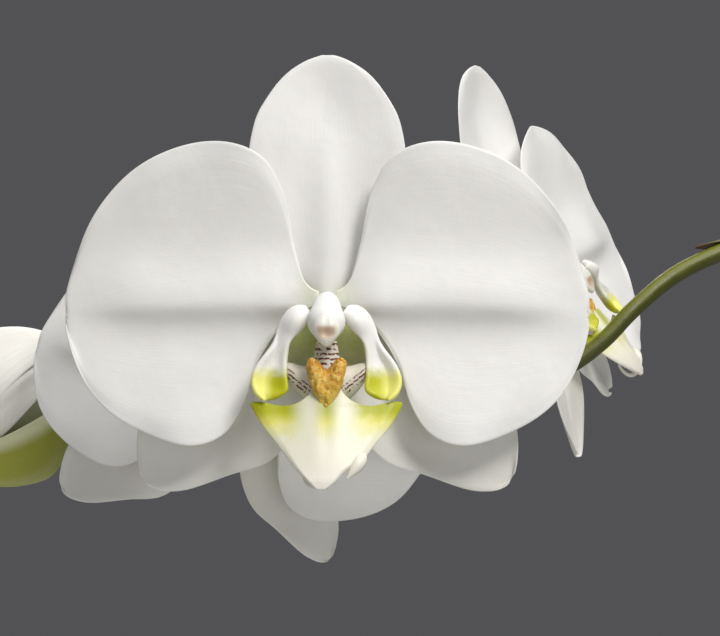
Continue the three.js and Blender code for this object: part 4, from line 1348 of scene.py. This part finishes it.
def bud_shell(form, edge_a, edge_b, inset, flare, chin, fold):
    """One sepal or petal of the opening bud. Its edges list (share along, degrees from the top);
    chin is the share at which it swells out from the stalk, fold the height of its soft pleat."""
    low, high = edge_a[0][0], edge_a[-1][0]

    def surface(share, side):
        along = low + (high - low) * share
        radius, height = bud_profile(form, along)
        a = np.interp(along, [p[0] for p in edge_a], [p[1] for p in edge_a])
        b = np.interp(along, [p[0] for p in edge_b], [p[1] for p in edge_b])
        turn = np.radians(a + (b - a) * (side + 1) / 2)
        radius = radius * (1 if chin is None else smoothstep(chin - 0.1, chin + 0.1, along) ** 0.5)
        pleat = fold * np.exp(-((side + 0.15 - 0.5 * share) / 0.22) ** 2) * np.sin(np.pi * share)
        lip = flare * np.abs(side) ** 6 * np.sin(np.pi * share)
        radius = np.maximum(0.5, radius - inset + pleat + lip)
        return np.stack([radius * np.cos(turn), radius * np.sin(turn), height], axis=1)
    return sheet(surface, 36, 44, 0.9, rim=0.4)


def opposite(edge):
    return [(share, -turn) for share, turn in edge]


# Edges of the opening bud's pieces on the side that faces forwards: degrees from the top.
UPPER_NEAR = [(0.03, -16), (0.2, -30), (0.35, -46), (0.5, -76), (0.7, -92), (0.85, -80),
              (0.97, -40)]
UPPER_FAR = [(0.03, 20), (0.2, 44), (0.35, 56), (0.5, 66), (0.7, 70), (0.85, 60), (0.97, 30)]
PETAL_NEAR_TOP = [(0.05, -10), (0.35, -30), (0.5, -50), (0.75, -70), (0.95, -80)]
PETAL_NEAR_LOW = [(0.05, -24), (0.2, -48), (0.35, -74), (0.5, -106), (0.75, -124), (0.95, -100)]
BOAT_TOP = [(0.17, -62), (0.27, -80), (0.35, -90), (0.5, -103), (0.7, -114), (0.85, -124),
            (0.96, -150)]
BOAT_KEEL = [(0.17, -178), (0.5, -181), (0.96, -178)]


def make_opening_bud():
    """The opening bud: two green boat-shaped lower sepals, a cream upper sepal and petals."""
    form = BUDS["opening_bud"]
    matrix = bud_matrix(form)
    shells = {
        "upper_sepal": (bud_shell(form, UPPER_NEAR, UPPER_FAR, 1.2, 0.2, None, 0.5), BUD_CREAM),
        "near_petal": (bud_shell(form, PETAL_NEAR_LOW, PETAL_NEAR_TOP, 2.4, 0.5, None, 0.9),
                       BUD_CREAM),
        "far_petal": (bud_shell(form, opposite(PETAL_NEAR_LOW), opposite(PETAL_NEAR_TOP), 2.4, 0.5,
                                None, 0.9), BUD_CREAM),
        "near_boat": (bud_shell(form, BOAT_TOP, BOAT_KEEL, 0.6, 0.9, 0.27, 0.4), BUD_OLIVE),
        "far_boat": (bud_shell(form, opposite(BOAT_TOP), opposite(BOAT_KEEL), 0.6, 0.9, 0.27, 0.4),
                     BUD_OLIVE),
    }
    heart = egg((form["radius"] - 4.5, form["radius"] - 4.5, form["length"] / 2 - 5), segments=32)
    note(heart, "blade", corners(heart) / form["length"] + 0.5)
    shells["heart"] = (heart, BUD_INSIDE)
    for part, (piece, material) in shells.items():
        place(piece, matrix)
        hand_over(piece, f"opening_bud_{part}", material, "bud", "opening_bud")


def make_buds():
    make_opening_bud()
    make_closed_bud("bud_2")
    make_closed_bud("bud_3")
    for name, form in BUDS.items():
        tip = np.array(form["tip"], float)
        tip /= np.linalg.norm(tip)
        start = np.array(form["at"], float) - tip * (form["length"] / 2 - 0.6)
        make_pedicel(name, start, -tip, form, lambda s: BUD_PEDICEL_RADIUS * (1.35 - 0.35 * s))


# ---------------------------------------------------------------- camera, floor and light

def make_camera():
    camera = bpy.data.cameras.new("camera")
    camera.lens = CAMERA_LENS
    camera.sensor_width = 36
    camera.clip_start = 0.01
    camera.dof.use_dof = False
    holder = bpy.data.objects.new("camera", camera)
    holder.location = Vector(CAMERA_AT) * MM
    holder.rotation_euler = (math.radians(90), 0, 0)
    bpy.context.collection.objects.link(holder)
    bpy.context.scene.camera = holder


def make_light(name, at, aim, size, power, colour=(1, 1, 1)):
    lamp = bpy.data.lights.new(name, "AREA")
    lamp.shape = "DISK"
    lamp.size = size
    lamp.energy = power
    lamp.color = colour
    holder = bpy.data.objects.new(name, lamp)
    holder.location = at
    holder.rotation_euler = (Vector(aim) - Vector(at)).to_track_quat("-Z", "Y").to_euler()
    holder.visible_camera = False
    bpy.context.collection.objects.link(holder)


def make_floor():
    bpy.ops.object.select_all(action="DESELECT")
    bpy.ops.mesh.primitive_circle_add(vertices=96, radius=1.6, fill_type="NGON",
                                      location=(0, 0, -0.0004))
    floor = bpy.context.active_object
    floor.name = "floor"
    f = Finish("pale_floor", 0.8)
    grain = f.noise(f.own(), 30, 3)
    f.colour(f.mix(grain, (0.60, 0.595, 0.58), (0.63, 0.625, 0.61)))
    floor.data.materials.append(f.material)


def make_studio():
    make_camera()
    make_floor()
    world = bpy.data.worlds.new("studio")
    world.use_nodes = True
    world.node_tree.nodes["Background"].inputs[0].default_value = (0.085, 0.085, 0.09, 1)
    world.node_tree.nodes["Background"].inputs[1].default_value = 1.0
    bpy.context.scene.world = world
    bpy.context.scene.view_settings.view_transform = "Standard"
    make_light("key", (0.30, -0.80, 1.20), (-0.17, 0, 0.42), 0.35, 7.8, (1, 0.975, 0.94))
    make_light("fill", (-0.9, -1.1, 0.5), (-0.17, 0, 0.40), 0.9, 1.4)
    make_light("back", (-0.5, 1.1, 0.9), (-0.1, 0, 0.3), 0.8, 5)
    make_light("low_front", (0.5, -1.3, 0.2), (0, 0, 0.15), 0.8, 2.5)
    make_light("top", (0.1, -0.3, 1.5), (0, 0, 0), 1.0, 9)


make_studio()
make_cover_pot()
make_nursery_pot()
make_bark()
make_stake()
make_clips()
make_crown()
for leaf_number, leaf_form in enumerate(LEAVES):
    make_leaf(leaf_number, leaf_form)
make_roots()
make_spike()
make_flowers()
make_buds()
